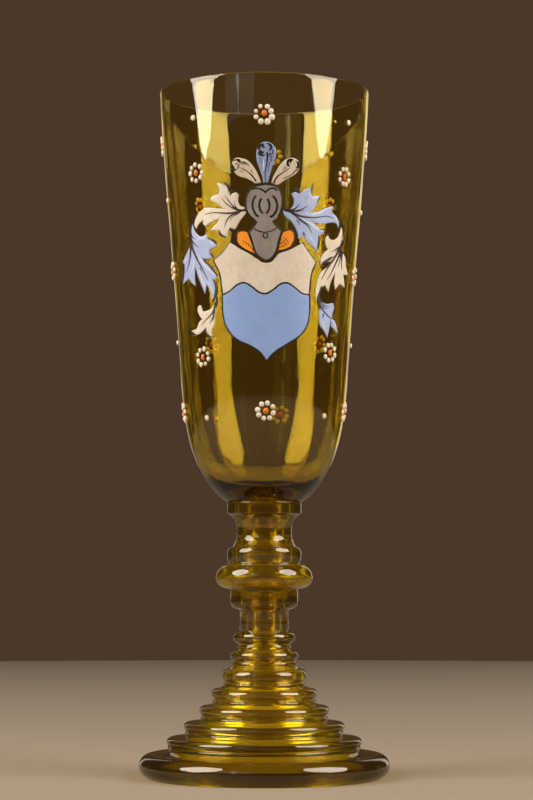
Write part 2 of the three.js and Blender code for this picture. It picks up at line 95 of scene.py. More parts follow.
OUTLINES = {
    "helm": (
        (0.5, 32.2), (-3.1, 31.6), (-5.1, 30.7), (-7.2, 27.9), (-7.8, 24.1), (-7.2, 20.9), (-5.8, 18.8),
        (-3.2, 16.4), (-4.3, 14.6), (-6.6, 12.5), (-5.5, 9.5), (-3.9, 4.2), (-2.3, 1.9), (0.9, 0.2),
        (3.7, 2.0), (5.2, 5.0), (6.1, 8.8), (7.4, 12.8), (5.1, 14.7), (3.4, 16.7), (5.8, 18.6),
        (7.1, 21.8), (7.6, 25.1), (6.8, 29.4), (4.3, 31.6),
    ),
    "plume_centre": (
        (-0.5, 32.9), (-0.8, 35.2), (-1.9, 38.4), (-3.1, 41.9), (-3.3, 45.4), (-2.7, 48.1), (-1.2, 49.7),
        (0.6, 50.2), (2.8, 49.7), (4.3, 48.1), (5.0, 45.7), (4.5, 42.8), (3.4, 40.0), (2.7, 37.3),
        (1.9, 34.7), (1.5, 32.9),
    ),
    "plume_left": (
        (-1.4, 32.9), (-2.2, 35.2), (-3.6, 38.1), (-5.5, 40.9), (-7.4, 42.6), (-9.3, 43.3), (-11.5, 43.7),
        (-13.1, 42.8), (-13.9, 41.0), (-13.4, 39.0), (-12.2, 37.1), (-10.3, 35.7), (-7.6, 34.8),
        (-5.1, 33.5), (-3.7, 32.6),
    ),
    "plume_right": (
        (3.0, 32.9), (3.5, 34.7), (4.8, 37.4), (6.4, 40.1), (8.3, 42.3), (10.5, 43.5), (12.6, 43.6),
        (14.5, 42.4), (14.9, 40.5), (14.3, 38.3), (12.4, 36.3), (9.7, 34.8), (7.3, 33.1), (5.4, 32.0),
    ),
    "lining_left": (
        (-7.4, 12.3), (-9.0, 12.8), (-11.0, 12.4), (-11.6, 10.7), (-11.5, 8.2), (-10.0, 6.2), (-7.3, 4.4),
        (-3.4, 2.6), (-4.9, 6.0), (-6.1, 9.2),
    ),
    "lining_right": (
        (5.9, 4.3), (8.6, 4.9), (11.2, 6.2), (12.6, 9.0), (12.6, 11.7), (11.5, 13.0), (10.0, 13.2),
        (8.5, 12.4), (7.5, 10.9), (6.7, 7.6),
    ),
    "leaf_upper_left": (
        (-7.9, 20.9), (-8.5, 22.7), (-10.2, 23.4), (-11.1, 25.3), (-10.9, 28.2), (-12.1, 29.2),
        (-13.8, 28.5), (-14.5, 27.4), (-14.7, 29.3), (-16.0, 31.8), (-17.9, 33.0), (-20.5, 34.0),
        (-19.3, 31.5), (-19.3, 29.4), (-22.2, 28.0), (-23.4, 26.5), (-20.7, 25.5), (-18.3, 23.4),
        (-16.4, 22.3), (-20.2, 22.9), (-25.0, 23.6), (-27.9, 21.8), (-29.6, 19.0), (-29.9, 16.7),
        (-28.9, 15.1), (-28.1, 16.9), (-25.9, 18.5), (-26.2, 17.1), (-25.0, 15.6), (-22.5, 17.2),
        (-19.2, 18.3), (-20.6, 16.1), (-23.0, 13.9), (-20.1, 13.4), (-18.9, 12.6), (-18.2, 10.7),
        (-15.8, 10.0), (-15.3, 12.4), (-14.2, 14.2), (-12.3, 13.4), (-11.5, 14.9), (-10.1, 17.3),
        (-7.9, 20.0),
    ),
    "leaf_upper_right": (
        (7.9, 21.0), (8.6, 22.2), (10.8, 22.0), (12.4, 24.0), (12.4, 26.4), (11.4, 28.4), (13.1, 29.4),
        (14.7, 28.6), (16.9, 30.4), (19.3, 31.5), (20.7, 33.1), (20.0, 30.2), (20.5, 27.9), (24.1, 28.6),
        (23.1, 26.2), (21.7, 23.7), (19.6, 21.2), (22.7, 21.7), (25.6, 23.4), (29.5, 25.0), (28.6, 22.2),
        (30.1, 21.4), (31.3, 20.2), (32.1, 18.0), (31.7, 15.9), (31.1, 17.3), (29.6, 18.0), (26.7, 17.2),
        (23.2, 16.5), (19.9, 17.4), (22.8, 15.3), (25.7, 13.5), (22.8, 11.1), (23.3, 8.7), (22.4, 4.6),
        (19.9, 7.0), (17.5, 9.2), (16.6, 11.5), (15.6, 10.0), (14.2, 9.9), (14.2, 11.3), (13.2, 14.1),
        (11.3, 16.9), (8.9, 18.7),
    ),
    "leaf_lower_left": (
        (-30.7, 18.4), (-31.3, 14.1), (-31.0, 9.7), (-32.8, 6.7), (-34.3, 3.7), (-35.3, 2.0),
        (-34.3, 0.6), (-34.5, -3.9), (-35.1, -7.1), (-32.4, -5.5), (-31.2, -7.4), (-29.2, -9.1),
        (-29.7, -5.7), (-29.5, -0.9), (-28.2, -5.4), (-26.7, -9.4), (-25.2, -13.1), (-24.5, -9.1),
        (-22.8, -12.1), (-21.8, -16.7), (-20.6, -13.2), (-20.4, -9.9), (-21.4, -7.0), (-19.8, -6.5),
        (-21.9, -2.7), (-25.3, 0.4), (-26.3, 2.4), (-24.4, 1.8), (-22.1, 2.2), (-23.2, 4.0),
        (-22.9, 5.9), (-20.1, 6.6), (-20.5, 8.5), (-24.0, 10.2), (-24.0, 13.1), (-25.4, 12.1),
        (-27.4, 11.8), (-29.4, 13.9), (-30.4, 16.4),
    ),
    "leaf_lower_right": (
        (33.1, 17.0), (33.9, 14.5), (33.9, 10.2), (33.4, 6.8), (35.0, 3.8), (35.3, 0.1), (36.3, -3.0),
        (34.1, -3.5), (34.7, -8.8), (32.3, -7.6), (30.4, -10.5), (29.9, -7.6), (30.3, -3.2),
        (28.4, -7.8), (27.4, -11.9), (25.7, -9.0), (24.0, -11.5), (22.1, -16.0), (21.6, -12.7),
        (22.3, -7.9), (23.9, -4.0), (26.8, -1.3), (28.8, 1.3), (25.8, 0.5), (23.9, -0.7), (23.9, 1.7),
        (25.1, 4.2), (27.2, 6.3), (26.2, 7.7), (26.0, 10.9), (27.2, 12.3), (28.2, 10.7), (30.2, 10.8),
        (31.9, 12.7), (32.5, 14.6),
    ),
    "leaf_tail_left": (
        (-20.1, -15.2), (-22.7, -19.3), (-26.1, -20.3), (-27.1, -17.4), (-28.1, -17.5), (-28.6, -19.6),
        (-27.6, -22.1), (-26.6, -23.4), (-28.1, -24.9), (-29.0, -27.2), (-31.3, -27.8), (-29.5, -30.0),
        (-27.5, -29.5), (-24.8, -27.4), (-24.3, -29.5), (-21.9, -31.6), (-22.2, -28.8), (-21.0, -26.0),
        (-20.8, -23.2), (-20.1, -17.5),
    ),
    "leaf_tail_right": (
        (23.6, -14.8), (24.3, -15.9), (26.5, -17.0), (29.2, -16.2), (30.0, -18.0), (29.3, -20.4),
        (29.0, -22.4), (30.6, -24.6), (31.6, -28.9), (28.1, -25.8), (27.6, -28.3), (26.9, -31.5),
        (25.6, -28.9), (23.6, -26.3), (23.2, -23.0), (23.2, -18.3),
    ),
}

# Black brush lines: the greatest width, which VEIN_BOLD, CRESCENT_BOLD or BAR_BOLD scales, and the points
# that the line passes through. A vein starts wide and runs out thin, a crescent is thin at both ends, and
# a bar keeps its width.
VEINS = {
    "leaf_upper_left": (
        (0.46, (-7.8, 21.5), (-9.6, 21.3), (-11.0, 20.9), (-13.2, 20.5), (-16.1, 20.5), (-19.0, 20.9),
            (-21.9, 21.2), (-25.4, 20.8)),
        (0.4, (-9.1, 21.3), (-11.0, 21.7), (-12.7, 22.8), (-14.3, 24.7), (-15.6, 26.4), (-16.7, 28.1)),
        (0.32, (-10.3, 21.3), (-12.5, 22.1), (-14.6, 23.4), (-16.5, 25.0), (-18.0, 27.1)),
        (0.42, (-11.0, 20.7), (-13.2, 19.9), (-15.0, 18.6), (-16.1, 16.9), (-16.8, 14.5)),
        (0.26, (-10.3, 20.6), (-12.1, 19.6), (-13.7, 18.6), (-14.6, 17.0)),
        (0.26, (-11.4, 22.0), (-12.4, 23.7), (-12.8, 25.7)),
    ),
    "leaf_lower_left": (
        (0.44, (-31.4, 9.4), (-30.1, 5.8), (-28.4, 1.9), (-26.4, -1.9), (-25.1, -4.7), (-23.8, -7.4)),
        (0.38, (-31.2, 9.0), (-31.5, 6.0), (-31.7, 3.2), (-32.4, 0.4), (-33.3, -2.4)),
        (0.34, (-31.6, 14.6), (-31.1, 12.9), (-30.3, 11.6), (-29.3, 10.7)),
        (0.38, (-31.7, 12.5), (-30.7, 10.2), (-29.4, 8.6), (-27.9, 7.1)),
        (0.26, (-31.5, 10.8), (-30.7, 9.1), (-29.7, 7.7)),
        (0.24, (-27.4, -1.3), (-26.9, -2.6), (-26.5, -3.7)),
    ),
    "leaf_tail_left": (
        (0.44, (-20.6, -16.3), (-21.1, -19.2), (-22.1, -21.4), (-23.7, -23.0), (-25.2, -24.3),
            (-26.7, -26.0)),
        (0.36, (-21.2, -19.6), (-21.4, -22.0), (-22.2, -23.9), (-23.2, -25.8)),
        (0.28, (-21.2, -20.6), (-21.5, -23.4), (-22.2, -25.2)),
    ),
    "leaf_upper_right": (
        (0.62, (8.0, 21.7), (9.9, 21.3), (12.3, 20.4), (14.8, 19.4), (18.1, 19.0), (21.1, 19.1),
            (24.0, 19.7), (26.9, 20.3), (29.3, 19.7)),
        (0.42, (9.8, 21.4), (11.9, 21.8), (13.5, 22.7), (14.7, 24.3)),
        (0.38, (11.1, 21.1), (13.8, 21.5), (16.2, 22.4), (18.2, 23.8)),
        (0.26, (13.3, 21.0), (15.5, 21.5), (17.0, 21.9)),
        (0.44, (11.5, 20.6), (13.8, 18.9), (15.7, 17.2), (17.8, 15.9), (19.2, 14.2), (20.2, 12.4)),
        (0.3, (15.0, 18.2), (16.6, 17.1), (18.3, 16.2), (19.7, 15.0)),
        (0.28, (13.7, 17.7), (14.5, 16.5), (15.1, 15.3)),
    ),
    "leaf_lower_right": (
        (0.5, (33.8, 11.2), (32.6, 7.9), (30.8, 4.5), (28.6, 0.8), (26.4, -2.6), (25.2, -4.9),
            (24.3, -7.0)),
        (0.36, (33.1, 8.7), (31.4, 7.4), (29.8, 6.2), (28.5, 5.4)),
        (0.26, (32.6, 7.4), (31.2, 6.5), (30.1, 5.3)),
        (0.38, (33.0, 7.4), (31.7, 3.6), (30.1, -0.1), (28.2, -4.2), (26.6, -6.7)),
        (0.36, (33.3, 6.5), (33.2, 3.4), (33.0, 1.0), (33.2, -1.6)),
        (0.24, (32.8, 5.3), (32.2, 1.8), (31.5, -0.9)),
        (0.24, (34.2, 6.3), (35.1, 3.5), (35.4, 0.6)),
    ),
    "leaf_tail_right": (
        (0.5, (23.2, -13.2), (23.3, -16.1), (24.4, -18.9), (25.9, -20.9), (27.4, -22.2), (29.1, -23.3)),
        (0.36, (23.2, -14.7), (24.6, -16.9), (26.1, -17.8), (27.6, -17.8)),
        (0.26, (24.6, -17.8), (25.7, -18.8), (27.1, -18.8)),
        (0.3, (25.3, -21.1), (25.0, -22.2), (24.9, -23.3)),
    ),
    "plume_centre": (
        (0.36, (1.1, 45.9), (1.3, 44.1), (1.1, 41.9), (0.8, 39.5), (0.4, 37.3), (0.4, 35.2),
            (0.4, 32.6)),
        (0.3, (3.1, 45.4), (2.4, 44.3), (1.9, 43.5)),
        (0.28, (3.4, 44.2), (2.8, 43.3), (2.2, 42.4)),
        (0.26, (3.3, 42.8), (2.8, 42.1), (2.5, 41.5)),
        (0.26, (2.4, 45.6), (2.0, 44.9), (1.7, 44.2)),
        (0.16, (2.1, 41.6), (1.9, 39.5), (1.4, 37.1)),
        (0.14, (-2.0, 43.5), (-1.4, 42.7), (-0.6, 42.2)),
        (0.14, (-1.8, 42.2), (-1.2, 41.5), (-0.6, 41.0)),
    ),
    "plume_left": (
        (0.32, (-3.5, 33.5), (-4.6, 35.2), (-6.2, 36.9), (-7.9, 38.3), (-9.2, 39.1), (-10.7, 39.5)),
        (0.32, (-9.6, 42.0), (-9.5, 41.3), (-9.4, 40.6)),
        (0.32, (-8.9, 42.1), (-8.7, 41.2), (-8.5, 40.4)),
        (0.3, (-8.2, 41.9), (-8.1, 41.2), (-7.9, 40.4)),
        (0.28, (-7.5, 41.5), (-7.4, 40.9), (-7.3, 40.2)),
        (0.26, (-6.9, 40.9), (-6.8, 40.4), (-6.7, 39.9)),
        (0.14, (-10.0, 38.6), (-9.2, 38.3), (-8.3, 37.8)),
        (0.14, (-10.4, 37.8), (-9.5, 37.5), (-8.6, 37.3)),
        (0.14, (-5.7, 38.5), (-5.2, 37.4), (-4.6, 36.6)),
    ),
    "plume_right": (
        (0.36, (4.0, 32.6), (4.5, 34.1), (5.6, 35.6), (7.3, 36.9), (8.9, 38.0), (11.0, 39.5)),
        (0.2, (9.1, 40.8), (9.7, 40.3), (10.3, 39.9)),
        (0.2, (8.6, 40.1), (9.2, 39.7), (9.8, 39.2)),
        (0.2, (8.2, 39.5), (8.8, 39.0), (9.4, 38.7)),
        (0.18, (7.7, 38.9), (8.2, 38.5), (8.8, 38.2)),
        (0.26, (13.4, 38.6), (12.7, 37.9), (11.9, 37.5)),
        (0.26, (12.7, 37.5), (11.8, 36.8), (10.8, 36.3)),
        (0.24, (11.3, 36.3), (10.3, 35.8), (9.3, 35.5)),
        (0.22, (9.8, 35.6), (8.8, 35.1), (7.8, 34.7)),
    ),
    "lining_left": (
        (0.17, (-9.2, 8.9), (-8.8, 8.2), (-8.5, 7.4)),
        (0.18, (-8.1, 8.3), (-7.7, 7.5), (-7.3, 6.6)),
        (0.18, (-7.0, 7.6), (-6.6, 6.8), (-6.2, 5.8)),
        (0.18, (-6.0, 6.6), (-5.7, 5.8), (-5.3, 4.9)),
        (0.16, (-5.1, 5.4), (-4.8, 4.8), (-4.5, 4.1)),
    ),
    "lining_right": (
        (0.15, (6.4, 8.2), (7.5, 7.0), (8.3, 5.5)),
        (0.15, (7.1, 9.2), (8.5, 7.9), (9.5, 6.2)),
        (0.15, (8.1, 10.0), (9.5, 8.8), (10.6, 7.3)),
        (0.14, (6.0, 5.6), (8.2, 6.6), (10.4, 8.6)),
        (0.14, (6.3, 7.1), (8.0, 8.0), (9.7, 9.6)),
    ),
}
CRESCENTS = {
    "leaf_upper_left": (
        (0.46, (-18.2, 34.0), (-16.6, 33.4), (-15.5, 32.0), (-15.0, 30.4), (-15.4, 29.0)),
        (0.38, (-14.4, 29.1), (-13.2, 29.8), (-12.0, 29.6), (-11.0, 28.6)),
        (0.52, (-19.2, 13.9), (-18.8, 12.3), (-17.8, 11.1), (-15.9, 10.4)),
        (0.66, (-14.8, 14.3), (-13.7, 13.2), (-12.0, 13.2)),
        (0.26, (-20.7, 29.5), (-20.1, 29.3), (-19.5, 28.7)),
    ),
    "leaf_lower_left": (
        (0.54, (-29.7, 21.0), (-30.6, 19.0), (-31.5, 16.5), (-31.8, 13.7), (-31.6, 10.7)),
        (0.46, (-24.1, 10.4), (-22.8, 10.1), (-21.3, 9.0), (-20.2, 7.4)),
        (0.32, (-23.5, 4.5), (-22.4, 3.5), (-21.5, 2.4)),
        (0.46, (-25.9, 1.9), (-23.9, -0.3), (-21.8, -2.9), (-19.5, -6.1)),
        (0.64, (-21.9, -6.7), (-20.7, -9.1), (-20.3, -11.6), (-21.0, -14.4), (-22.2, -16.9)),
    ),
    "leaf_tail_left": (
        (0.52, (-25.2, -27.4), (-24.7, -29.5), (-23.5, -30.9), (-22.1, -31.6)),
        (0.52, (-31.5, -27.6), (-30.5, -29.2), (-29.0, -29.8)),
        (0.46, (-20.2, -14.4), (-20.1, -17.1), (-20.8, -19.4)),
    ),
    "leaf_upper_right": (
        (0.58, (11.4, 29.1), (12.3, 30.1), (13.6, 30.3), (15.1, 29.6)),
        (0.36, (20.8, 33.8), (20.2, 31.4), (20.0, 29.7), (20.5, 28.5)),
        (0.28, (24.3, 29.2), (23.2, 27.2), (22.2, 24.8)),
        (0.4, (16.4, 12.7), (16.7, 12.0), (17.2, 11.3)),
        (0.46, (23.1, 11.9), (23.2, 9.7), (22.8, 7.3), (22.3, 5.3)),
        (0.26, (23.2, 14.8), (24.5, 14.3), (25.9, 14.2)),
        (0.32, (29.3, 25.5), (30.1, 24.7), (30.6, 23.5)),
    ),
    "leaf_lower_right": (
        (0.64, (23.8, -1.1), (25.4, 0.6), (27.4, 2.0), (29.6, 3.7)),
        (0.28, (32.9, 19.4), (34.1, 16.6), (34.2, 13.7), (33.7, 10.4)),
        (0.2, (32.4, 18.5), (33.4, 15.9), (33.5, 13.1), (32.9, 10.6)),
        (0.5, (24.5, -9.3), (23.9, -11.3), (23.5, -13.4)),
        (0.26, (26.6, 11.8), (27.0, 12.4), (27.6, 12.7)),
    ),
    "leaf_tail_right": (
        (0.56, (23.5, -11.7), (22.9, -14.7), (23.2, -17.6), (23.9, -20.1)),
        (0.26, (28.3, -23.8), (28.4, -24.8), (28.2, -26.3)),
    ),
    "plume_centre": (
        (0.66, (-0.6, 49.4), (-1.7, 48.6), (-2.4, 47.5), (-2.6, 46.4)),
        (0.44, (-2.7, 46.3), (-2.1, 44.9), (-0.7, 44.4), (0.5, 44.9)),
        (0.62, (-1.8, 47.2), (-1.6, 45.9), (-0.7, 45.5), (-0.0, 46.2)),
        (1.1, (1.0, 49.6), (2.4, 48.9), (2.9, 47.7), (1.8, 46.2)),
        (0.56, (-0.2, 49.4), (-0.7, 48.7), (-0.5, 47.9), (0.4, 47.8)),
        (0.3, (3.3, 47.2), (3.6, 46.0), (3.5, 44.6)),
    ),
    "plume_left": (
        (0.8, (-13.7, 41.5), (-13.4, 39.9), (-12.6, 38.4), (-11.5, 38.8)),
        (0.58, (-12.4, 42.7), (-11.2, 42.8), (-10.4, 42.1), (-10.2, 41.1)),
        (0.3, (-10.2, 41.0), (-10.8, 40.3), (-11.4, 38.7)),
        (0.34, (-13.2, 42.1), (-12.6, 42.7), (-11.5, 43.0)),
        (0.3, (-12.2, 41.1), (-11.5, 41.3), (-11.3, 40.5)),
    ),
    "plume_right": (
        (0.66, (11.0, 39.7), (9.9, 40.9), (10.1, 42.3), (11.2, 42.9), (12.5, 42.9)),
        (0.8, (13.2, 42.6), (14.3, 41.5), (14.4, 40.0), (13.1, 39.4)),
        (0.36, (11.0, 41.0), (11.1, 42.0), (12.0, 42.5)),
        (0.3, (14.4, 39.8), (13.9, 38.8), (12.9, 38.1)),
    ),
}
BARS = {
    "helm": (
        (0.74, (-3.3, 27.6), (-4.4, 26.3), (-4.9, 24.5), (-4.9, 22.6), (-4.2, 20.7), (-3.3, 19.3),
            (-2.2, 18.6)),
        (0.76, (-1.1, 26.5), (-1.8, 25.2), (-2.1, 23.6), (-1.9, 22.0), (-1.3, 20.7), (-0.4, 19.9)),
        (0.76, (1.2, 26.2), (1.9, 25.0), (2.2, 23.6), (2.0, 22.0), (1.5, 20.8), (0.7, 19.9)),
        (0.84, (3.4, 27.5), (4.6, 26.2), (5.3, 24.5), (5.4, 22.6), (4.8, 20.7), (3.8, 19.2),
            (2.3, 18.4)),
        (0.6, (-5.3, 30.1), (-4.0, 30.5), (-2.7, 30.5), (-1.3, 30.1), (-0.2, 29.5), (0.4, 28.8),
            (1.0, 29.4), (2.0, 30.2), (3.3, 30.6), (4.5, 30.4), (5.6, 29.5)),
        (0.4, (-4.5, 13.9), (-3.4, 13.0), (-1.7, 12.3), (0.4, 12.0), (2.6, 12.5), (4.2, 13.2),
            (5.3, 14.1)),
        (0.56, (-3.2, 16.6), (-4.1, 15.2), (-5.2, 13.5), (-6.5, 12.1)),
        (0.56, (3.4, 16.9), (4.6, 15.4), (5.8, 14.1), (7.5, 12.5)),
    ),
}

# White touches on the blue leaves and plume: the greatest width, and the points that the stroke follows.
TOUCHES = {
    "leaf_upper_right": (
        (0.5, (20.3, 27.1), (21.9, 27.6), (23.4, 28.1)),
        (0.4, (17.1, 21.0), (18.3, 20.5), (19.4, 20.1)),
        (0.6, (18.7, 20.0), (21.0, 20.3), (23.8, 21.5), (25.8, 22.9), (28.2, 24.1)),
        (0.6, (15.2, 18.3), (17.5, 17.2), (20.2, 15.8), (22.7, 14.1), (24.6, 13.5)),
        (0.55, (18.0, 12.2), (19.5, 10.4), (21.0, 8.5), (21.8, 6.6)),
        (0.4, (19.6, 30.1), (19.5, 28.6), (19.8, 27.4)),
        (0.45, (28.7, 21.4), (30.1, 20.5), (30.9, 19.0), (31.3, 17.7)),
    ),
    "leaf_lower_left": (
        (0.45, (-28.4, 11.0), (-26.8, 10.6), (-25.3, 11.0), (-24.4, 12.0)),
        (0.4, (-30.3, 3.6), (-30.0, 1.4), (-30.6, -1.3), (-31.2, -4.0)),
        (0.4, (-33.1, 4.0), (-33.8, 2.6), (-34.3, 1.9)),
        (0.6, (-23.2, 8.8), (-22.0, 8.4), (-21.2, 7.5)),
        (0.45, (-28.2, 4.2), (-26.0, 0.2), (-23.0, -3.3), (-20.6, -5.6)),
        (0.45, (-27.7, -2.7), (-26.8, -6.1), (-25.5, -9.0), (-24.9, -11.5)),
        (0.45, (-23.6, -7.8), (-22.4, -10.7), (-21.7, -13.6)),
    ),
    "leaf_tail_right": (
        (0.4, (24.6, -23.6), (25.3, -25.9), (26.0, -28.2)),
        (0.4, (28.9, -23.4), (30.0, -24.9), (30.8, -26.9)),
    ),
    "plume_centre": (
        (0.5, (-0.6, 43.0), (-0.3, 40.6), (-0.3, 37.6)),
    ),
}

# Azimuth from the front, in degrees towards +X, and height from the shield's shoulders.
FLOWERS = {
    "front": ((0, 62.3), (-42, 39), (52, 38.3), (-44.5, -39.6), (48.5, -37.6), (1, -63.3)),
    "side": ((-88, 56.1), (88, 54.3), (-80, 0), (78, -2.7), (-81, -62.1), (79, -61.8)),
    "back": (
        (174, 59.8), (-135, 34), (135, 34), (180, 0), (-139, -28.9), (136, -29), (168, -60.2),
    ),
}
DOTS = {
    "front": ((-42, 62.6), (53, 61.7), (-44.5, -65.6), (47, -64.7)),
    "side": ((-79, 30.9), (83.5, 26.1), (-85.5, -31.1), (88, -32.3)),
    "back": ((-134.5, 61.9), (136, 58.8), (-141, -62.5)),
}
# The flower above the plumes is larger and less even than the rest: each bead's place and radius.
TOP_FLOWER = "flower_front_1"
TOP_FLOWER_BEADS = (
    (-1.66, 2.83, 0.85), (1.28, 2.71, 1.10), (2.86, 0.90, 1.10), (3.20, -1.70, 1.32),
    (1.33, -3.60, 1.30), (-1.44, -3.50, 1.20), (-3.50, -1.64, 1.02), (-3.53, 0.90, 0.79),
)
FLOWER_PETALS = 8
FLOWER_RING = 3.38
PETAL_RADIUS = 1.06
# How unevenly the beads are set: the least and greatest turn in radians, then shares of their sizes.
PETAL_TURN = (-0.07, 0.07)
RING_SPREAD = (0.95, 1.04)
PETAL_SPREAD = (0.88, 1.08)
PETAL_TALL = (0.98, 1.14)
PETAL_RISE = (0.9, 1.1)
DOT_RADIUS = 1.2
CENTRE_BEAD = (1.1, 1.36)

# A painted piece's finishes: its own paint, its lines or a flower's centre, and its white touches.
COAT = 0
SECOND = 1
WHITE = 2

# Thickness of the paint, above the wall of the bowl and below it.
PAINT_THICK = 0.22
PAINT_SUNK = 0.06
PAINT_EDGE = 0.45
LINE_SUNK = 0.04
BEAD_RISE = 0.62
OUTLINE_STEP = 0.45
LINE_STEP = 0.35
SHARP_DEGREES = 62
EDGE_ROWS = (0.1, 0.26, 0.45)
FILL_PITCH = 1.0
FILL_ROW_PITCH = 0.87
# How near the edge a point may be: a share of its row's inset, and a share of the grid's pitch.
ROW_SLACK = 0.9
FILL_CLEAR = 0.4
POINT_SNAP = 0.06
LINE_UNEVEN = 0.2
LINE_LOW = 0.012
LINE_RISE = 0.05
TOUCH_RISE = 0.02
WIDEST_LINE = 1.2
# How much bolder each kind of line is laid than its width in the tables.
VEIN_BOLD = 2.35
CRESCENT_BOLD = 1.95
BAR_BOLD = 1.2

# Tint of the glass: the share of red, green and blue light that a wall of WALL_MM lets through.
WALL_MM = 2.0
BOWL_PASSES = (0.835, 0.775, 0.28)
STEM_PASSES = (0.89, 0.87, 0.48)


def rgba(colour):
    """A colour's linear values, from its values in sRGB."""
    def channel(value):
        value = value / 255
        return value / 12.92 if value <= 0.04045 else ((value + 0.055) / 1.055) ** 2.4

    return (*(channel(value) for value in colour), 1.0)


def measures(node):
    """A CAD node's lower level, upper level and outer radius, in millimetres."""
    low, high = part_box(node)
    return low[2] / MM, high[2] / MM, (high[0] - low[0]) / 2 / MM


# Profile curves: lists of (radius, level) in millimetres.

def arc(centre, across, up, start, end, steps):
    points = []
    for step in range(steps + 1):
        turn = math.radians(start + (end - start) * step / steps)
        points.append((centre[0] + across * math.cos(turn), centre[1] + up * math.sin(turn)))
    return points


def cubic(start, first, second, end, steps):
    points = []
    for step in range(steps + 1):
        t = step / steps
        weights = ((1 - t) ** 3, 3 * t * (1 - t) ** 2, 3 * t * t * (1 - t), t ** 3)
        corners = (start, first, second, end)
        points.append(tuple(sum(w * c[k] for w, c in zip(weights, corners)) for k in (0, 1)))
    return points


def catmull(a, b, c, d, t):
    """The point at share t of the way from b to c, on a smooth curve that comes from a and goes to d."""
    return tuple(
        0.5 * (2 * b[k] + (c[k] - a[k]) * t + (2 * a[k] - 5 * b[k] + 4 * c[k] - d[k]) * t * t
               + (3 * b[k] - a[k] - 3 * c[k] + d[k]) * t ** 3)
        for k in (0, 1)
    )


def eased(points, steps):
    """A smooth curve through all the points."""
    padded = [points[0]] + list(points) + [points[-1]]
    curve = [
        catmull(*around, step / steps)
        for around in zip(padded, padded[1:], padded[2:], padded[3:])
        for step in range(steps)
    ]
    return curve + [tuple(points[-1])]


# Each ring from the foot up, and the share of its height at which its nose is.
NOSE_SHARE = {
    "foot_ring_6": 0.53, "foot_ring_5": 0.56, "foot_ring_4": 0.56, "foot_ring_3": 0.55,
    "foot_ring_2": 0.50, "foot_ring_1": 0.57, "stem_ring": 0.62,
}
RINGS = tuple(NOSE_SHARE)
NOSE_HALF_SHARE = 0.31
NOSE_DEPTH = 2.2
BEAD_INSET = 0.45
BEAD_TALL = 1.5
BEAD_DEEP = 0.7
NOTCH_DEPTH = 0.57
# The shelf from a ring's nose to the ring above: how far it tucks in, and its curve.
SHELF_TUCK = 0.4
SHELF_LAP = 0.02
SHELF_PULLS = (0.35, 0.25)
SHELF_DROOP = 0.25
RING_NECK_RADIUS = 11.8
FOOT_TUBE = 5.1
SEAT_INNER = 47.4
SEAT_OUTER = 51.2
# The foot's inside, from the seat up to the first ring.
FOOT_HOLLOW = ((44.8, 1.7), (44.0, 4.5), (42.6, 8.0))
# The slope from the rim up to the first ring: how far its curve is pulled at each end.
SLOPE_LOW = (2.2, 0.55)
SLOPE_HIGH = (2.4, 1.9)
FOOT_WALL = 3.4
FOOT_BORE_TOP = 7.2
SHAFT_BORE = 5.4
COLLAR_BORE = 8.0
KNOP_BORE = 18.2
SHOULDER_BORE = 9.8
NECK_BORE = 6.3
MERESE_BORE = 8.4
NECK_BAND = 12.15
COLLAR_ROUND = (4.0, 3.2)
KNOP_EQUATOR = 4.9
# Degrees above and below the knop's widest line at which its ridge begins.
KNOP_CREASE = 14
MERESE_ROUND = 0.5


def neck_radius(name):
    """Radius at which a ring grows out of the one below."""
    if name == "stem_shaft":
        return measures(name)[2]
    if name == "stem_ring":
        return RING_NECK_RADIUS
    return measures(name)[2] - BEAD_INSET


def ring_profile(name, above):
    """The outside of one ring: a small bead, a notch, a round nose, and a shelf in to the ring above."""
    base, top, radius = measures(name)
    tall = top - base
    nose_level = base + NOSE_SHARE[name] * tall
    nose_half = NOSE_HALF_SHARE * tall
    neck = neck_radius(name)
    bead = arc((neck - BEAD_DEEP, base + BEAD_TALL / 2), BEAD_DEEP, BEAD_TALL / 2, -80, 70, 8)
    nose = arc((radius - NOSE_DEPTH, nose_level), NOSE_DEPTH, nose_half, -62, 88, 16)
    notch = [(min(neck, nose[0][0]) - NOTCH_DEPTH, (bead[-1][1] + nose[0][1]) / 2)]
    inner = neck_radius(above)
    end = (inner - SHELF_TUCK, top + SHELF_LAP)
    start = nose[-1]
    out_pull, in_pull = ((start[0] - end[0]) * share for share in SHELF_PULLS)
    out_pull = (start[0] - out_pull, start[1] + SHELF_LAP)
    shelf = cubic(start, out_pull, (end[0] + in_pull, end[1] - SHELF_DROOP), end, 10)
    return bead + notch + nose + shelf[1:]


def foot_profile():
    base, top, radius = measures("foot_rim")
    outside = [(SEAT_INNER + 0.6, base), (SEAT_OUTER, base)]
    outside += arc((radius - FOOT_TUBE, FOOT_TUBE), FOOT_TUBE, FOOT_TUBE, -62, 108, 30)
    end = (neck_radius("foot_ring_6") - 0.3, top)
    start = outside[-1]
    low_pull = (start[0] - SLOPE_LOW[0], start[1] - SLOPE_LOW[1])
    high_pull = (end[0] + SLOPE_HIGH[0], end[1] - SLOPE_HIGH[1])
    outside += cubic(start, low_pull, high_pull, end, 12)[1:]
    for name, above in zip(RINGS[:6], RINGS[1:]):
        outside += ring_profile(name, above)
    inside = [(SEAT_INNER, base + 0.4), *FOOT_HOLLOW]
    for name in RINGS[:5]:
        low, high, _ = measures(name)
        for inset, share in ((0, 0.25), (0.5, 0.6)):
            inside.append((neck_radius(name) - FOOT_WALL - inset, low + share * (high - low)))
    low, high, _ = measures("foot_ring_1")
    inside += [(neck_radius("foot_ring_1") - FOOT_WALL, low + 0.5), (9.4, low + 3.6), (FOOT_BORE_TOP, high)]
    outside[-1] = (outside[-1][0], high)
    return outside + eased(inside, 5)[::-1], len(outside)


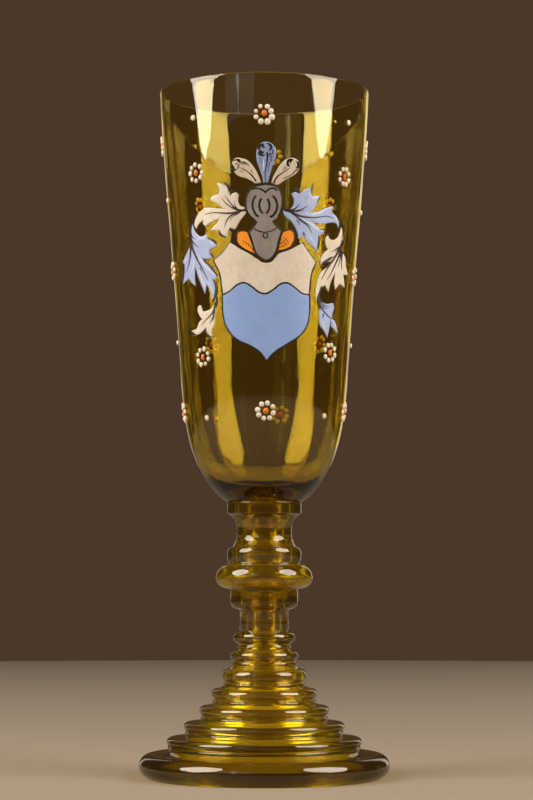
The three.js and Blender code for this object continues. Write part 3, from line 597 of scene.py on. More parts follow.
def stem_profile():
    shaft_base, shaft_top, shaft = measures("stem_shaft")
    collar_base, collar_top, collar = measures("lower_collar")
    knop_base, knop_top, knop = measures("knop")
    shoulder_base, shoulder_top, shoulder = measures("shoulder_collar")
    neck_base, neck_top, _ = measures("stem_neck")
    _, merese_top, merese = measures("merese")
    outside = ring_profile("stem_ring", "stem_shaft")
    outside += [(shaft + 0.25, shaft_base + 0.5), (shaft, shaft_base + 3.5), (shaft, collar_base - 0.5)]
    across, up = COLLAR_ROUND
    outside += arc((collar - across, collar_base + up), across, up, -84, 0, 14)
    outside += [(collar, collar_top - 1.6), (collar - 0.2, collar_top - 0.5), (collar - 0.1, collar_top)]
    equator = knop_base + KNOP_EQUATOR
    outside += arc((collar + 0.5, equator), knop - collar - 0.5, 4.75, -86, -KNOP_CREASE, 14)
    outside.append((knop, equator))
    outside += arc(
        (shoulder - 0.7, equator), knop - shoulder + 0.7, knop_top - equator - 0.25, KNOP_CREASE, 84, 17,
    )
    outside += eased([
        (shoulder - 0.5, shoulder_base + 0.15),
        (shoulder - 0.2, shoulder_base + 1.4),
        (shoulder, shoulder_base + 3.6),
        (shoulder - 0.05, shoulder_top - 1.5),
        (shoulder - 0.75, shoulder_top),
        (shoulder - 2.1, neck_base + 1.2),
        (NECK_BAND + 0.6, neck_base + 3.2),
        (NECK_BAND + 0.05, neck_base + 5.0),
        (NECK_BAND, neck_base + 7.0),
        (NECK_BAND + 0.05, neck_base + 9.3),
        (NECK_BAND + 0.8, neck_base + 11.4),
        (merese - 2.2, neck_top - 1.2),
        (merese - 0.6, neck_top - 0.05),
    ], 5)
    edge = MERESE_ROUND
    outside += arc((merese - edge, neck_top + edge), edge, edge, -70, 0, 5)
    outside += arc((merese - edge, merese_top - edge - 0.05), edge, edge, 0, 88, 6)
    ring_base = measures("stem_ring")[0]
    inside = [
        (FOOT_BORE_TOP, ring_base),
        (SHAFT_BORE + 0.6, ring_base + 4.2),
        (SHAFT_BORE, shaft_base),
        (SHAFT_BORE, shaft_top - 0.5),
        (COLLAR_BORE - 1.4, collar_base + 4.4),
        (COLLAR_BORE + 0.4, collar_top - 0.3),
        (KNOP_BORE - 3.0, knop_base + 2.0),
        (KNOP_BORE, equator),
        (KNOP_BORE - 3.2, knop_base + 8.6),
        (SHOULDER_BORE, knop_top + 0.3),
        (SHOULDER_BORE - 0.7, shoulder_top - 2.0),
        (NECK_BORE + 0.9, neck_base + 2.6),
        (NECK_BORE, neck_base + 5.4),
        (NECK_BORE, neck_base + 9.3),
        (MERESE_BORE, neck_top),
        (MERESE_BORE, merese_top - 0.05),
    ]
    return outside + eased(inside, 6)[::-1], len(outside)


# The bowl's outside, as two cubic curves that meet at the waist.
BOWL_WAIST = (37.1, 56.4)
BOWL_BASE_CURVE = ((16.6, 0.0), (32.05, 10.5), (35.4, 30.6), BOWL_WAIST)
BOWL_WALL_CURVE = (BOWL_WAIST, (40.0, 101.8), (45.3, 148.8), (46.5, 180.0))
RIM_WALL = 1.6
WAIST_WALL = 2.4
BASE_STEPS = 40
WALL_STEPS = 60
BOWL_FLOOR = 2.8
# Where the inside of the bowl's base pulls outwards: shares of the waist's radius, and of its height.
HOLLOW_PULLS = (0.78, 0.95)
HOLLOW_RISE = 0.34


def bowl_outside(base_steps, wall_steps):
    lift = measures("bowl")[0]
    points = cubic(*BOWL_BASE_CURVE, base_steps) + cubic(*BOWL_WALL_CURVE, wall_steps)[1:]
    return [(radius, level + lift) for radius, level in points]


def bowl_profile():
    bowl_base, rim, _ = measures("bowl")
    outside = arc((0.0, bowl_base), MERESE_BORE - 0.6, 0.7, 90, 10, 8)
    outside += [(MERESE_BORE + 0.2, bowl_base), (BOWL_BASE_CURVE[0][0] - 0.4, bowl_base)]
    outside += bowl_outside(BASE_STEPS, WALL_STEPS)
    lip = outside[-1]
    outside += arc((lip[0] - RIM_WALL / 2, lip[1]), RIM_WALL / 2, rim - lip[1], 12, 180, 12)
    waist = (BOWL_WAIST[0] - WAIST_WALL, BOWL_WAIST[1] + bowl_base)
    wall = [
        (radius - WAIST_WALL + (WAIST_WALL - RIM_WALL) * step / WALL_STEPS, level + bowl_base)
        for step, (radius, level) in enumerate(cubic(*BOWL_WALL_CURVE, WALL_STEPS))
    ]
    floor = (0.0, bowl_base + BOWL_FLOOR)
    reach = waist[1] - floor[1]
    low_pull, high_pull = (waist[0] * share for share in HOLLOW_PULLS)
    high_pull = (high_pull, floor[1] + reach * HOLLOW_RISE)
    hollow = cubic(floor, (low_pull, floor[1]), high_pull, waist, BASE_STEPS)
    return outside + wall[::-1][1:] + hollow[::-1][1:], len(outside)


STRIAE_STRETCH = 0.4
STRIAE_SHARE = 0.45
BROAD_MM = 26.0
FINE_MM = 6.0
BOWL_WOBBLE = 0.045
STEM_WOBBLE = 0.05
INSIDE_WOBBLE = 0.13
ON_AXIS = 1e-6
# The mesh attribute that is 1 on the inside of a glass piece.
HOLLOW = "hollow"


def unevenness(x, y, level):
    """How far blown glass strays from true at a place in millimetres, from -1 to 1 or a little beyond."""
    place = Vector((x, y, level * STRIAE_STRETCH))
    return noise.noise(place / BROAD_MM) + STRIAE_SHARE * noise.noise(place / FINE_MM)


SHIELD_LEVEL = measures("bowl")[1] - SHIELD_BELOW_RIM
BOWL_OUTLINE = bowl_outside(2 * BASE_STEPS, 2 * WALL_STEPS)
BOWL_LEVELS = [level for _, level in BOWL_OUTLINE]


def bowl_radius(level):
    """Radius of the bowl's outside at a level."""
    above = min(max(bisect.bisect(BOWL_LEVELS, level), 1), len(BOWL_OUTLINE) - 1)
    (low_radius, low), (high_radius, high) = BOWL_OUTLINE[above - 1], BOWL_OUTLINE[above]
    return low_radius + (high_radius - low_radius) * (level - low) / (high - low)


def add_object(name, data):
    added = bpy.data.objects.new(name, data)
    bpy.context.collection.objects.link(added)
    return added


def turned(name, profile, outside, sides, wobble):
    """A closed mesh turned round the axis. The glass is a little uneven, and more so on its inside."""
    vertices = []
    hollow = []
    rows = []
    for index, (radius, level) in enumerate(profile):
        strays_by = wobble if index < outside else INSIDE_WOBBLE
        on_axis = radius < ON_AXIS
        hollow += [float(index >= outside)] * (1 if on_axis else sides)
        if on_axis:
            rows.append([len(vertices)])
            vertices.append((0.0, 0.0, level * MM))
            continue
        rows.append(list(range(len(vertices), len(vertices) + sides)))
        for side in range(sides):
            turn = 2 * math.pi * side / sides
            strays = unevenness(math.cos(turn) * radius, math.sin(turn) * radius, level)
            size = (radius + strays_by * strays) * MM
            vertices.append((size * math.cos(turn), size * math.sin(turn), level * MM))
    closed_rows = rows if len(rows[0]) == 1 else rows + rows[:1]
    faces = []
    for low, high in zip(closed_rows, closed_rows[1:]):
        for side in range(sides):
            after = (side + 1) % sides
            if len(low) == 1:
                faces.append((low[0], high[after], high[side]))
            elif len(high) == 1:
                faces.append((low[side], low[after], high[0]))
            else:
                faces.append((low[side], low[after], high[after], high[side]))
    mesh = bpy.data.meshes.new(name)
    mesh.from_pydata(vertices, [], faces)
    mesh.validate()
    mesh.shade_smooth()
    mesh.attributes.new(HOLLOW, "FLOAT", "POINT").data.foreach_set("value", hollow)
    return add_object(name, mesh)


def new_material(name):
    material = bpy.data.materials.new(name)
    material.use_nodes = True
    return material, material.node_tree, material.node_tree.nodes["Principled BSDF"]


class Painting:
    """Gathers one painted piece's vertices and faces, laid onto the bowl."""

    def __init__(self, azimuth=0.0, height=0.0):
        self.azimuth = math.radians(azimuth)
        self.height = height
        self.vertices = []
        self.faces = []
        self.finishes = []

    def point(self, x, height, proud):
        level = SHIELD_LEVEL + self.height + height
        radius = bowl_radius(level)
        turn = self.azimuth + math.asin(x / radius)
        side, front = math.sin(turn), -math.cos(turn)
        reach = radius + BOWL_WOBBLE * unevenness(side * radius, front * radius, level) + proud
        self.vertices.append((side * reach * MM, front * reach * MM, level * MM))
        return len(self.vertices) - 1

    def face(self, corners, finish):
        self.faces.append(tuple(corners))
        self.finishes.append(finish)

    def sleeve(self, rows, finish):
        """Joins each closed row of corners to the next."""
        for low, high in zip(rows, rows[1:]):
            for corner in range(len(low)):
                after = (corner + 1) % len(low)
                self.face((low[corner], low[after], high[after], high[corner]), finish)

    def piece(self, name, materials):
        mesh = bpy.data.meshes.new(name)
        mesh.from_pydata(self.vertices, [], self.faces)
        for material in materials:
            mesh.materials.append(material)
        mesh.polygons.foreach_set("material_index", self.finishes)
        work = bmesh.new()
        work.from_mesh(mesh)
        bmesh.ops.recalc_face_normals(work, faces=work.faces)
        work.to_mesh(mesh)
        work.free()
        mesh.shade_smooth()
        return add_object(name, mesh)


# How the painting is laid: smooth outlines, soft-edged patches, brush lines and domed beads.

def corner_turn(before, here, after):
    """How far a path turns at a point, in degrees."""
    first = math.atan2(here[1] - before[1], here[0] - before[0])
    second = math.atan2(after[1] - here[1], after[0] - here[0])
    turn = math.degrees(second - first)
    return abs((turn + 180) % 360 - 180)


def traced(points, step, closed=False):
    """A smooth path through all the points, which keeps their sharp corners."""
    count = len(points)

    def is_sharp(index):
        if not closed and index in (0, count - 1):
            return True
        return corner_turn(points[index - 1], points[index], points[(index + 1) % count]) > SHARP_DEGREES

    path = []
    for index in range(count if closed else count - 1):
        after_index = (index + 1) % count
        here, there = points[index], points[after_index]
        before = here if is_sharp(index) else points[index - 1]
        beyond = there if is_sharp(after_index) else points[(after_index + 1) % count]
        steps = max(1, round(math.dist(here, there) / step))
        path += [catmull(before, here, there, beyond, part / steps) for part in range(steps)]
    if not closed:
        path.append(tuple(points[-1]))
    return path


def edge_distances(points, outline):
    """How far each point is inside a closed outline: negative where it is outside."""
    points = np.array(points)[:, None, :]
    start = np.array(outline)[None, :, :]
    end = np.roll(start, -1, axis=1)
    along = end - start
    share = ((points - start) * along).sum(2) / (along ** 2).sum(2)
    nearest = start + np.clip(share, 0, 1)[..., None] * along
    distance = np.sqrt(((points - nearest) ** 2).sum(2)).min(1)
    rises = np.where(along[..., 1] == 0, 1e-9, along[..., 1])
    crossing = start[..., 0] + (points[..., 1] - start[..., 1]) * along[..., 0] / rises
    crosses = (start[..., 1] > points[..., 1]) != (end[..., 1] > points[..., 1])
    inside = (crosses & (points[..., 0] < crossing)).sum(1) % 2 == 1
    return np.where(inside, distance, -distance)


def inner_points(edge):
    """Points inside an outline: three rows beside its edge, and a staggered grid."""
    ring = np.array(edge)
    along = np.roll(ring, -1, axis=0) - np.roll(ring, 1, axis=0)
    across = np.stack([-along[:, 1], along[:, 0]], axis=1) / np.linalg.norm(along, axis=1)[:, None]
    found = []
    for inset in EDGE_ROWS:
        for side in (1, -1):
            row = ring + across * inset * side
            found.append(row[edge_distances(row, edge) > inset * ROW_SLACK])
    low, high = ring.min(0), ring.max(0)
    grid = [
        (x + (line % 2) * FILL_PITCH / 2, y)
        for line, y in enumerate(np.arange(low[1], high[1], FILL_ROW_PITCH))
        for x in np.arange(low[0], high[0], FILL_PITCH)
    ]
    grid = np.array(grid)
    found.append(grid[edge_distances(grid, edge) > PAINT_EDGE + FILL_PITCH * FILL_CLEAR])
    snapped = np.unique(np.round(np.concatenate(found) / POINT_SNAP), axis=0) * POINT_SNAP
    return [tuple(point) for point in snapped]


def pillow(distance):
    """Height of the paint at a distance from its edge."""
    share = min(max(distance / PAINT_EDGE, 0), 1)
    return PAINT_THICK * math.sqrt(1 - (1 - share) ** 2)


def paint_patch(painting, outline):
    """A patch of paint with a round edge, sunk a little into the glass."""
    edge = traced(outline, OUTLINE_STEP, closed=True)
    points = edge + inner_points(edge)
    places, _, triangles, *_ = delaunay_2d_cdt(
        [Vector(point) for point in points], [], [list(range(len(edge)))], 1, 1e-4,
    )
    depths = edge_distances([tuple(place) for place in places], edge)
    top = [painting.point(*place, pillow(depth)) for place, depth in zip(places, depths)]
    bottom = [painting.point(*place, -PAINT_SUNK) for place in places]
    sides = set()
    for triangle in triangles:
        painting.face([top[corner] for corner in triangle], COAT)
        painting.face([bottom[corner] for corner in reversed(triangle)], COAT)
        sides.update(zip(triangle, list(triangle[1:]) + [triangle[0]]))
    for start, end in sorted(sides):
        if (end, start) not in sides:
            painting.face((top[end], top[start], bottom[start], bottom[end]), COAT)


# Tapers: a line's share of its greatest width, from the share of its length, the distance to its nearer
# end and half its width.
VEIN_THINS = 0.74
VEIN_END = 0.35
CRESCENT_END = 0.12
CRESCENT_SWELL = 0.7
BAR_END = 0.02


def vein(share, reach, half):
    return (1 - VEIN_THINS * share) * min(1, VEIN_END + reach / half)


def crescent(share, reach, half):
    return max(CRESCENT_END, math.sin(math.pi * share) ** CRESCENT_SWELL)


def bar(share, reach, half):
    return math.sqrt(max(BAR_END, 1 - max(0, 1 - reach / half) ** 2))


# Across a line: the place from -1 to 1, and how much of its rise above the paint it has there.
LINE_SECTION = ((-1, 0.0), (-0.86, 0.5), (-0.45, 0.9), (0, 1.0), (0.45, 0.9), (0.86, 0.5), (1, 0.0))


def paint_line(painting, points, width, taper, finish=SECOND, rise=LINE_RISE):
    """A raised brush line, rounded across."""
    path = traced(points, LINE_STEP)
    lengths = [0.0]
    for start, end in zip(path, path[1:]):
        lengths.append(lengths[-1] + math.dist(start, end))
    rows = []
    for index, (x, y) in enumerate(path):
        before, after = path[max(index - 1, 0)], path[min(index + 1, len(path) - 1)]
        span = math.dist(before, after)
        across = ((before[1] - after[1]) / span, (after[0] - before[0]) / span)
        reach = min(lengths[index], lengths[-1] - lengths[index])
        half = width / 2 * taper(lengths[index] / lengths[-1], reach, width / 2)
        half *= 1 + LINE_UNEVEN * noise.noise(Vector((x, y, width)))
        section = [(-1, -LINE_SUNK)]
        section += [(place, PAINT_THICK + LINE_LOW + rise * share) for place, share in LINE_SECTION]
        section.append((1, -LINE_SUNK))
        rows.append([
            painting.point(x + across[0] * half * place, y + across[1] * half * place, proud)
            for place, proud in section
        ])
    painting.face(rows[0], finish)
    painting.face(rows[-1][::-1], finish)
    painting.sleeve(rows, finish)


BEAD_SIDES = 24
BEAD_RINGS = 6


def paint_bead(painting, x, y, across, tall, rise, finish=COAT):
    """A domed drop of paint."""
    turns = [2 * math.pi * side / BEAD_SIDES for side in range(BEAD_SIDES)]
    slopes = [math.pi / 2 * ring / BEAD_RINGS for ring in range(BEAD_RINGS)]
    section = [(1, -PAINT_SUNK)] + [(math.cos(slope), rise * math.sin(slope)) for slope in slopes]
    rows = [
        [
            painting.point(x + across * share * math.cos(turn), y + tall * share * math.sin(turn), proud)
            for turn in turns
        ]
        for share, proud in section
    ]
    crown = painting.point(x, y, rise)
    painting.face(rows[0][::-1], finish)
    painting.sleeve(rows, finish)
    for side in range(BEAD_SIDES):
        painting.face((rows[-1][side], rows[-1][(side + 1) % BEAD_SIDES], crown), finish)


def paint_lines(painting, name):
    kinds = ((VEINS, vein, VEIN_BOLD), (CRESCENTS, crescent, CRESCENT_BOLD), (BARS, bar, BAR_BOLD))
    for table, taper, bold in kinds:
        for width, *points in table.get(name, ()):
            paint_line(painting, points, min(width * bold, WIDEST_LINE), taper)


def paint_touches(painting, name):
    for width, *points in TOUCHES.get(name, ()):
        paint_line(painting, points, width, crescent, WHITE, TOUCH_RISE)


def wave_height(x):
    return WAVE_LEVEL - WAVE_HEIGHT * math.cos(2 * math.pi * x / WAVE_LENGTH)


def wave_line(shift):
    """The wavy line that parts the shield, moved up or down by shift."""
    line = []
    for step in range(WAVE_STEPS + 1):
        x = WAVE_LEFT + (WAVE_RIGHT - WAVE_LEFT) * step / WAVE_STEPS
        line.append((x, wave_height(x) + shift))
    return line


def finish_piece(painting, node, materials):
    piece = painting.piece("enamel_" + node, materials)
    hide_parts(node)
    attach(piece, "root")


SHIELD_LINE = 0.62
WAVE_LINE = 0.72
CORNER_LINE = 0.4


def paint_shield(cream, blue, line):
    sides = (SHIELD_LEFT, SHIELD_RIGHT)
    above_left, above_right = (
        [(x, height) for x, height in side if height > wave_height(x) + FIELD_GAP] for side in sides
    )
    below_left, below_right = (
        [(x, height) for x, height in side if height < wave_height(x) - FIELD_GAP] for side in sides
    )
    left_end, right_end = ((x, wave_height(x)) for x in (WAVE_LEFT, WAVE_RIGHT))
    upper = Painting()
    paint_patch(upper, above_left + wave_line(FIELD_GAP / 2) + above_right + list(SHIELD_TOP))
    for points in (above_left + [left_end], [right_end] + above_right):
        paint_line(upper, points, SHIELD_LINE, bar)
    corners = (
        [SHIELD_RIGHT[-1], *SHIELD_TOP[:2]], SHIELD_TOP[1:5],
        SHIELD_TOP[8:12], [*SHIELD_TOP[11:], SHIELD_LEFT[0]],
    )
    for points in corners:
        paint_line(upper, points, CORNER_LINE, bar)
    finish_piece(upper, "shield_upper_field", [cream, line])
    lower = Painting()
    paint_patch(lower, wave_line(-FIELD_GAP / 2)[::-1] + below_left[:-1] + below_right)
    paint_line(lower, wave_line(0), WAVE_LINE, bar)
    for points in ([left_end] + below_left, below_right + [right_end]):
        paint_line(lower, points, SHIELD_LINE, bar)
    finish_piece(lower, "shield_lower_field", [blue, line])


# Finishes. The effects that they share are node groups.

def new_group(name, inputs):
    """A node group and its inputs: a tuple is a colour's value, and a number is a plain value."""
    group = bpy.data.node_groups.new(name, "ShaderNodeTree")
    for label, value in inputs.items():
        kind = "NodeSocketColor" if isinstance(value, tuple) else "NodeSocketFloat"
        group.interface.new_socket(name=label, in_out="INPUT", socket_type=kind).default_value = value
    return group, group.nodes.new("NodeGroupInput").outputs


def give_results(group, results):
    """Gives a node group its outputs. The one named Color is a colour."""
    for label in results:
        kind = "NodeSocketColor" if label == "Color" else "NodeSocketFloat"
        group.interface.new_socket(name=label, in_out="OUTPUT", socket_type=kind)
    ends = group.nodes.new("NodeGroupOutput").inputs
    for label, value in results.items():
        group.links.new(value, ends[label])
    return group


def object_place(tree):
    return tree.nodes.new("ShaderNodeTexCoord").outputs["Object"]


def give(tree, socket, value):
    """Sets a socket to a plain number or colour, or links it to another socket."""
    if isinstance(value, (int, float, tuple)):
        socket.default_value = value
    else:
        tree.links.new(value, socket)


def add_group(tree, group, values):
    """Places a node group with its own values."""
    placed = tree.nodes.new("ShaderNodeGroup")
    placed.node_tree = group
    for label, value in values.items():
        placed.inputs[label].default_value = value
    return placed.outputs


def add_relief(tree, surface, height, distance):
    relief = tree.nodes.new("ShaderNodeBump")
    relief.inputs["Distance"].default_value = distance
    tree.links.new(height, relief.inputs["Height"])
    tree.links.new(relief.outputs["Normal"], surface.inputs["Normal"])


def add_noise(tree, place, scale, detail, distortion=0.0):
    speckle = tree.nodes.new("ShaderNodeTexNoise")
    speckle.inputs["Scale"].default_value = scale
    speckle.inputs["Detail"].default_value = detail
    speckle.inputs["Distortion"].default_value = distortion
    tree.links.new(place, speckle.inputs["Vector"])
    return speckle.outputs["Fac"]


def add_range(tree, value, low, high, to_low=0.0, to_high=1.0):
    """Maps a value from low..high onto to_low..to_high, and stops at both ends."""
    ranged = tree.nodes.new("ShaderNodeMapRange")
    for label, number in (("From Min", low), ("From Max", high), ("To Min", to_low), ("To Max", to_high)):
        ranged.inputs[label].default_value = number
    tree.links.new(value, ranged.inputs["Value"])
    return ranged.outputs["Result"]


def add_maths(tree, operation, first, second):
    maths = tree.nodes.new("ShaderNodeMath")
    maths.operation = operation
    for socket, value in zip(maths.inputs, (first, second)):
        give(tree, socket, value)
    return maths.outputs[0]


def add_mix(tree, share, first, second):
    mix = tree.nodes.new("ShaderNodeMix")
    mix.data_type = "RGBA"
    tree.links.new(share, mix.inputs["Factor"])
    for label, colour in (("A", first), ("B", second)):
        socket = next(each for each in mix.inputs if each.name == label and each.type == "RGBA")
        give(tree, socket, colour)
    return next(each for each in mix.outputs if each.type == "RGBA")


def show_mixed(tree, output, share, first, second):
    """Mixes two shaders and links them to the output."""
    mix = tree.nodes.new("ShaderNodeMixShader")
    for socket, value in zip(mix.inputs, (share, first, second)):
        tree.links.new(value, socket)
    tree.links.new(mix.outputs[0], output.inputs["Surface"])


def add_stretch(tree, place, scale):
    mapping = tree.nodes.new("ShaderNodeMapping")
    mapping.inputs["Scale"].default_value = scale
    tree.links.new(place, mapping.inputs["Vector"])
    return mapping.outputs["Vector"]


GLASS_IOR = 1.5
# The absorption is a little denser than its strongest channel, so that no channel of its colour is 0.
ABSORB_MARGIN = 1.02
# The share of a lamp's light that passes each surface of the glass, so that paint is lit through it.
LIT_THROUGH = (0.92, 0.92, 0.92, 1)
# Levels between which the foot's tint goes from that of its rim to that of the rest.
DEEP_LEVELS = (14.0, 30.0)
BLOWN_EFFECTS = ("Fine Striae", "Broad Striae", "Seeds", "Smudges")


def blown_surface_group():
    """Blown glass: upright striae, small seeds and faint smudges. Height is in millimetres."""
    group, given = new_group("blown_surface", dict.fromkeys(BLOWN_EFFECTS, 0.05))
    place = object_place(group)
    fine = add_noise(group, add_stretch(group, place, (1.0, 1.0, 0.035)), 720, 2.0)
    broad = add_noise(group, add_stretch(group, place, (1.0, 1.0, 0.12)), 190, 1.0, 0.3)
    fine_height = add_maths(group, "MULTIPLY", fine, given["Fine Striae"])
    broad_height = add_maths(group, "MULTIPLY", broad, given["Broad Striae"])
    bubbles = group.nodes.new("ShaderNodeTexVoronoi")
    bubbles.inputs["Scale"].default_value = 105
    group.links.new(add_stretch(group, place, (1.0, 1.0, 0.55)), bubbles.inputs["Vector"])
    seeds = add_range(group, bubbles.outputs["Distance"], 0.02, 0.06, 1.0, 0.0)
    seed_height = add_maths(group, "MULTIPLY", seeds, given["Seeds"])
    height = add_maths(group, "ADD", add_maths(group, "ADD", fine_height, broad_height), seed_height)
    haze = add_range(group, add_noise(group, place, 70, 3.0, 0.4), 0.42, 0.68)
    roughness = add_maths(group, "MULTIPLY", haze, given["Smudges"])
    return give_results(group, {"Height": height, "Roughness": roughness, "Haze": haze})


def glass_material(name, blown, passes, clear, tints, effects, dulled):
    """Amber-green glass.

    Passes is what the wall lets through, and clear is the share of light that isn't scattered back. The
    tints are for clean glass, for smudges and for the foot's rim, and dulled is the bloom on the inside.
    """
    material, tree, surface = new_material(name)
    surface.inputs["Transmission Weight"].default_value = clear
    surface.inputs["IOR"].default_value = GLASS_IOR
    finish = add_group(tree, blown, dict(zip(BLOWN_EFFECTS, effects)))
    hollow = tree.nodes.new("ShaderNodeAttribute")
    hollow.attribute_name = HOLLOW
    bloom = add_maths(tree, "MULTIPLY", hollow.outputs["Fac"], dulled)
    tree.links.new(add_maths(tree, "ADD", finish["Roughness"], bloom), surface.inputs["Roughness"])
    shown = add_mix(tree, finish["Haze"], rgba(tints[0]), rgba(tints[1]))
    if len(tints) == 3:
        parts = tree.nodes.new("ShaderNodeSeparateXYZ")
        tree.links.new(object_place(tree), parts.inputs["Vector"])
        low, high = (level * MM for level in DEEP_LEVELS)
        depth = add_range(tree, parts.outputs["Z"], low, high, 1.0, 0.0)
        shown = add_mix(tree, depth, shown, rgba(tints[2]))
    tree.links.new(shown, surface.inputs["Base Color"])
    add_relief(tree, surface, finish["Height"], MM)
    takes = [-math.log(share) / (WALL_MM * MM) for share in passes]
    most = max(takes) * ABSORB_MARGIN
    absorbed = tree.nodes.new("ShaderNodeVolumeAbsorption")
    absorbed.inputs["Density"].default_value = most
    absorbed.inputs["Color"].default_value = (*(1 - take / most for take in takes), 1)
    output = tree.nodes["Material Output"]
    tree.links.new(absorbed.outputs["Volume"], output.inputs["Volume"])
    passage = tree.nodes.new("ShaderNodeBsdfTransparent")
    passage.inputs["Color"].default_value = LIT_THROUGH
    is_shadow = tree.nodes.new("ShaderNodeLightPath").outputs["Is Shadow Ray"]
    show_mixed(tree, output, is_shadow, surface.outputs["BSDF"], passage.outputs["BSDF"])
    return material


# Each glass: what its wall lets through, how clear it is, its tints, its surface effects and its bloom.
GLASSES = {
    "blown_glass": (
        BOWL_PASSES, 1.0, ((255, 250, 247), (250, 245, 239)), (0.006, 0.05, 0.03, 0.03), 0.0,
    ),
    "hazy_blown_glass": (
        STEM_PASSES, 0.985, ((242, 218, 72), (232, 207, 62), (180, 158, 60)),
        (0.004, 0.04, 0.03, 0.06), 0.12,
    ),
}
WIDE_SIDES = 224
STEM_SIDES = 160


def glass_pieces():
    blown = blown_surface_group()
    clear, hazy = (glass_material(name, blown, *values) for name, values in GLASSES.items())
    foot = turned("glass_foot", *foot_profile(), WIDE_SIDES, STEM_WOBBLE)
    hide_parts("foot_rim", *RINGS[:6])
    stem = turned("glass_stem", *stem_profile(), STEM_SIDES, STEM_WOBBLE)
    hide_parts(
        "stem_ring", "stem_shaft", "lower_collar", "knop", "shoulder_collar", "stem_neck", "merese",
    )
    bowl = turned("glass_bowl", *bowl_profile(), WIDE_SIDES, BOWL_WOBBLE)
    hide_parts("bowl")
    for piece, glass in ((foot, hazy), (stem, hazy), (bowl, clear)):
        piece.data.materials.append(glass)
        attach(piece, "root")


def fired_paint_group():
    """Fired enamel: clouds where the coat is thinner, brush marks, kiln specks and a grained surface."""
    group, given = new_group("fired_paint", {
        "Colour": (0.8, 0.8, 0.8, 1), "Thin Colour": (0.6, 0.6, 0.6, 1),
        "Clouds": 0.5, "Brush Marks": 0.3, "Specks": 0.5,
    })
    place = object_place(group)
    clouds = add_range(group, add_noise(group, place, 130, 2.0), 0.38, 0.66)
    brushed = add_noise(group, add_stretch(group, place, (1.0, 1.0, 0.45)), 620, 3.0, 0.8)
    marks = add_range(group, brushed, 0.42, 0.64)
    fine = add_noise(group, place, 2600, 2.0)
    specks = add_range(group, fine, 0.70, 0.76)
    cloud_share = add_maths(group, "MULTIPLY", clouds, given["Clouds"])
    mark_share = add_maths(group, "MULTIPLY", marks, given["Brush Marks"])
    speck_share = add_maths(group, "MULTIPLY", specks, given["Specks"])
    clouded = add_mix(group, cloud_share, given["Colour"], given["Thin Colour"])
    marked = add_mix(group, mark_share, clouded, given["Thin Colour"])
    specked = add_mix(group, speck_share, marked, SPECK)
    roughness = add_range(group, clouds, 0.0, 1.0, 0.26, 0.4)
    grain = add_maths(group, "MULTIPLY", fine, 0.25)
    height = add_maths(group, "ADD", brushed, grain)
    return give_results(group, {"Color": specked, "Roughness": roughness, "Height": height})


def wear_group():
    """Fine scratches and rubbed places: a mask that is 1 where the paint is worn."""
    group, given = new_group("wear", {"Amount": 0.5})
    place = object_place(group)
    scratch = add_noise(group, add_stretch(group, place, (0.05, 0.05, 1.0)), 2400, 1.0)
    scratch = add_range(group, scratch, 0.70, 0.78)
    where = add_range(group, add_noise(group, place, 95, 1.0), 0.50, 0.62)
    mask = add_maths(group, "MULTIPLY", scratch, where)
    return give_results(group, {"Mask": add_maths(group, "MULTIPLY", mask, given["Amount"])})


def paint_material(name, paint, wear, colour, thin, worn, clouds, marks, specks, wear_amount, bump):
    """Paint with its own colours: where the coat is full, thin and worn."""
    material, tree, surface = new_material(name)
    coat = add_group(tree, paint, {
        "Colour": rgba(colour), "Thin Colour": rgba(thin),
        "Clouds": clouds, "Brush Marks": marks, "Specks": specks,
    })
    worn_share = add_group(tree, wear, {"Amount": wear_amount})["Mask"]
    shown = add_mix(tree, worn_share, coat["Color"], rgba(worn))
    tree.links.new(shown, surface.inputs["Base Color"])
    tree.links.new(coat["Roughness"], surface.inputs["Roughness"])
    add_relief(tree, surface, coat["Height"], bump * MM)
    surface.inputs["Specular IOR Level"].default_value = PAINT_SPECULAR
    return material


# Each paint: its full, thin and worn colours, and its clouds, brush marks, specks, wear and relief.
PAINTS = {
    "cream": ((198, 190, 179), (175, 163, 145), (207, 201, 193), 0.5, 0.35, 0.5, 0.35, 0.05),
    "shield_blue": ((124, 151, 205), (115, 138, 188), (179, 186, 203), 0.5, 0.3, 0.2, 0.7, 0.04),
    "leaf_blue": ((150, 166, 203), (133, 147, 186), (195, 198, 207), 0.6, 0.5, 0.2, 0.3, 0.05),
    "plume_blue": ((128, 143, 179), (106, 122, 161), (179, 184, 198), 0.5, 0.5, 0.2, 0.2, 0.05),
    "plume_cream": ((190, 177, 161), (165, 149, 130), (201, 193, 180), 0.5, 0.5, 0.4, 0.2, 0.05),
    "helm_grey": ((131, 127, 124), (110, 104, 100), (156, 150, 145), 0.7, 0.6, 0.5, 0.3, 0.06),
    "orange": ((220, 138, 37), (205, 119, 25), (210, 149, 78), 0.5, 0.4, 0.4, 0.2, 0.05),
    "line_black": ((24, 20, 20), (40, 33, 30), (90, 80, 70), 0.4, 0.3, 0.0, 0.1, 0.03),
    "touch_white": ((190, 195, 216), (168, 178, 208), (200, 203, 214), 0.5, 0.4, 0.0, 0.2, 0.03),
    "bead_cream": ((203, 195, 182), (188, 175, 158), (210, 205, 198), 0.4, 0.2, 0.3, 0.1, 0.02),
    "bead_orange": ((203, 119, 29), (171, 72, 18), (210, 149, 78), 0.8, 0.5, 0.3, 0.0, 0.03),
}
SPECK = rgba((84, 70, 56))
PAINT_SPECULAR = 0.4


def paint_materials():
    paint = fired_paint_group()
    wear = wear_group()
    return {name: paint_material(name, paint, wear, *values) for name, values in PAINTS.items()}


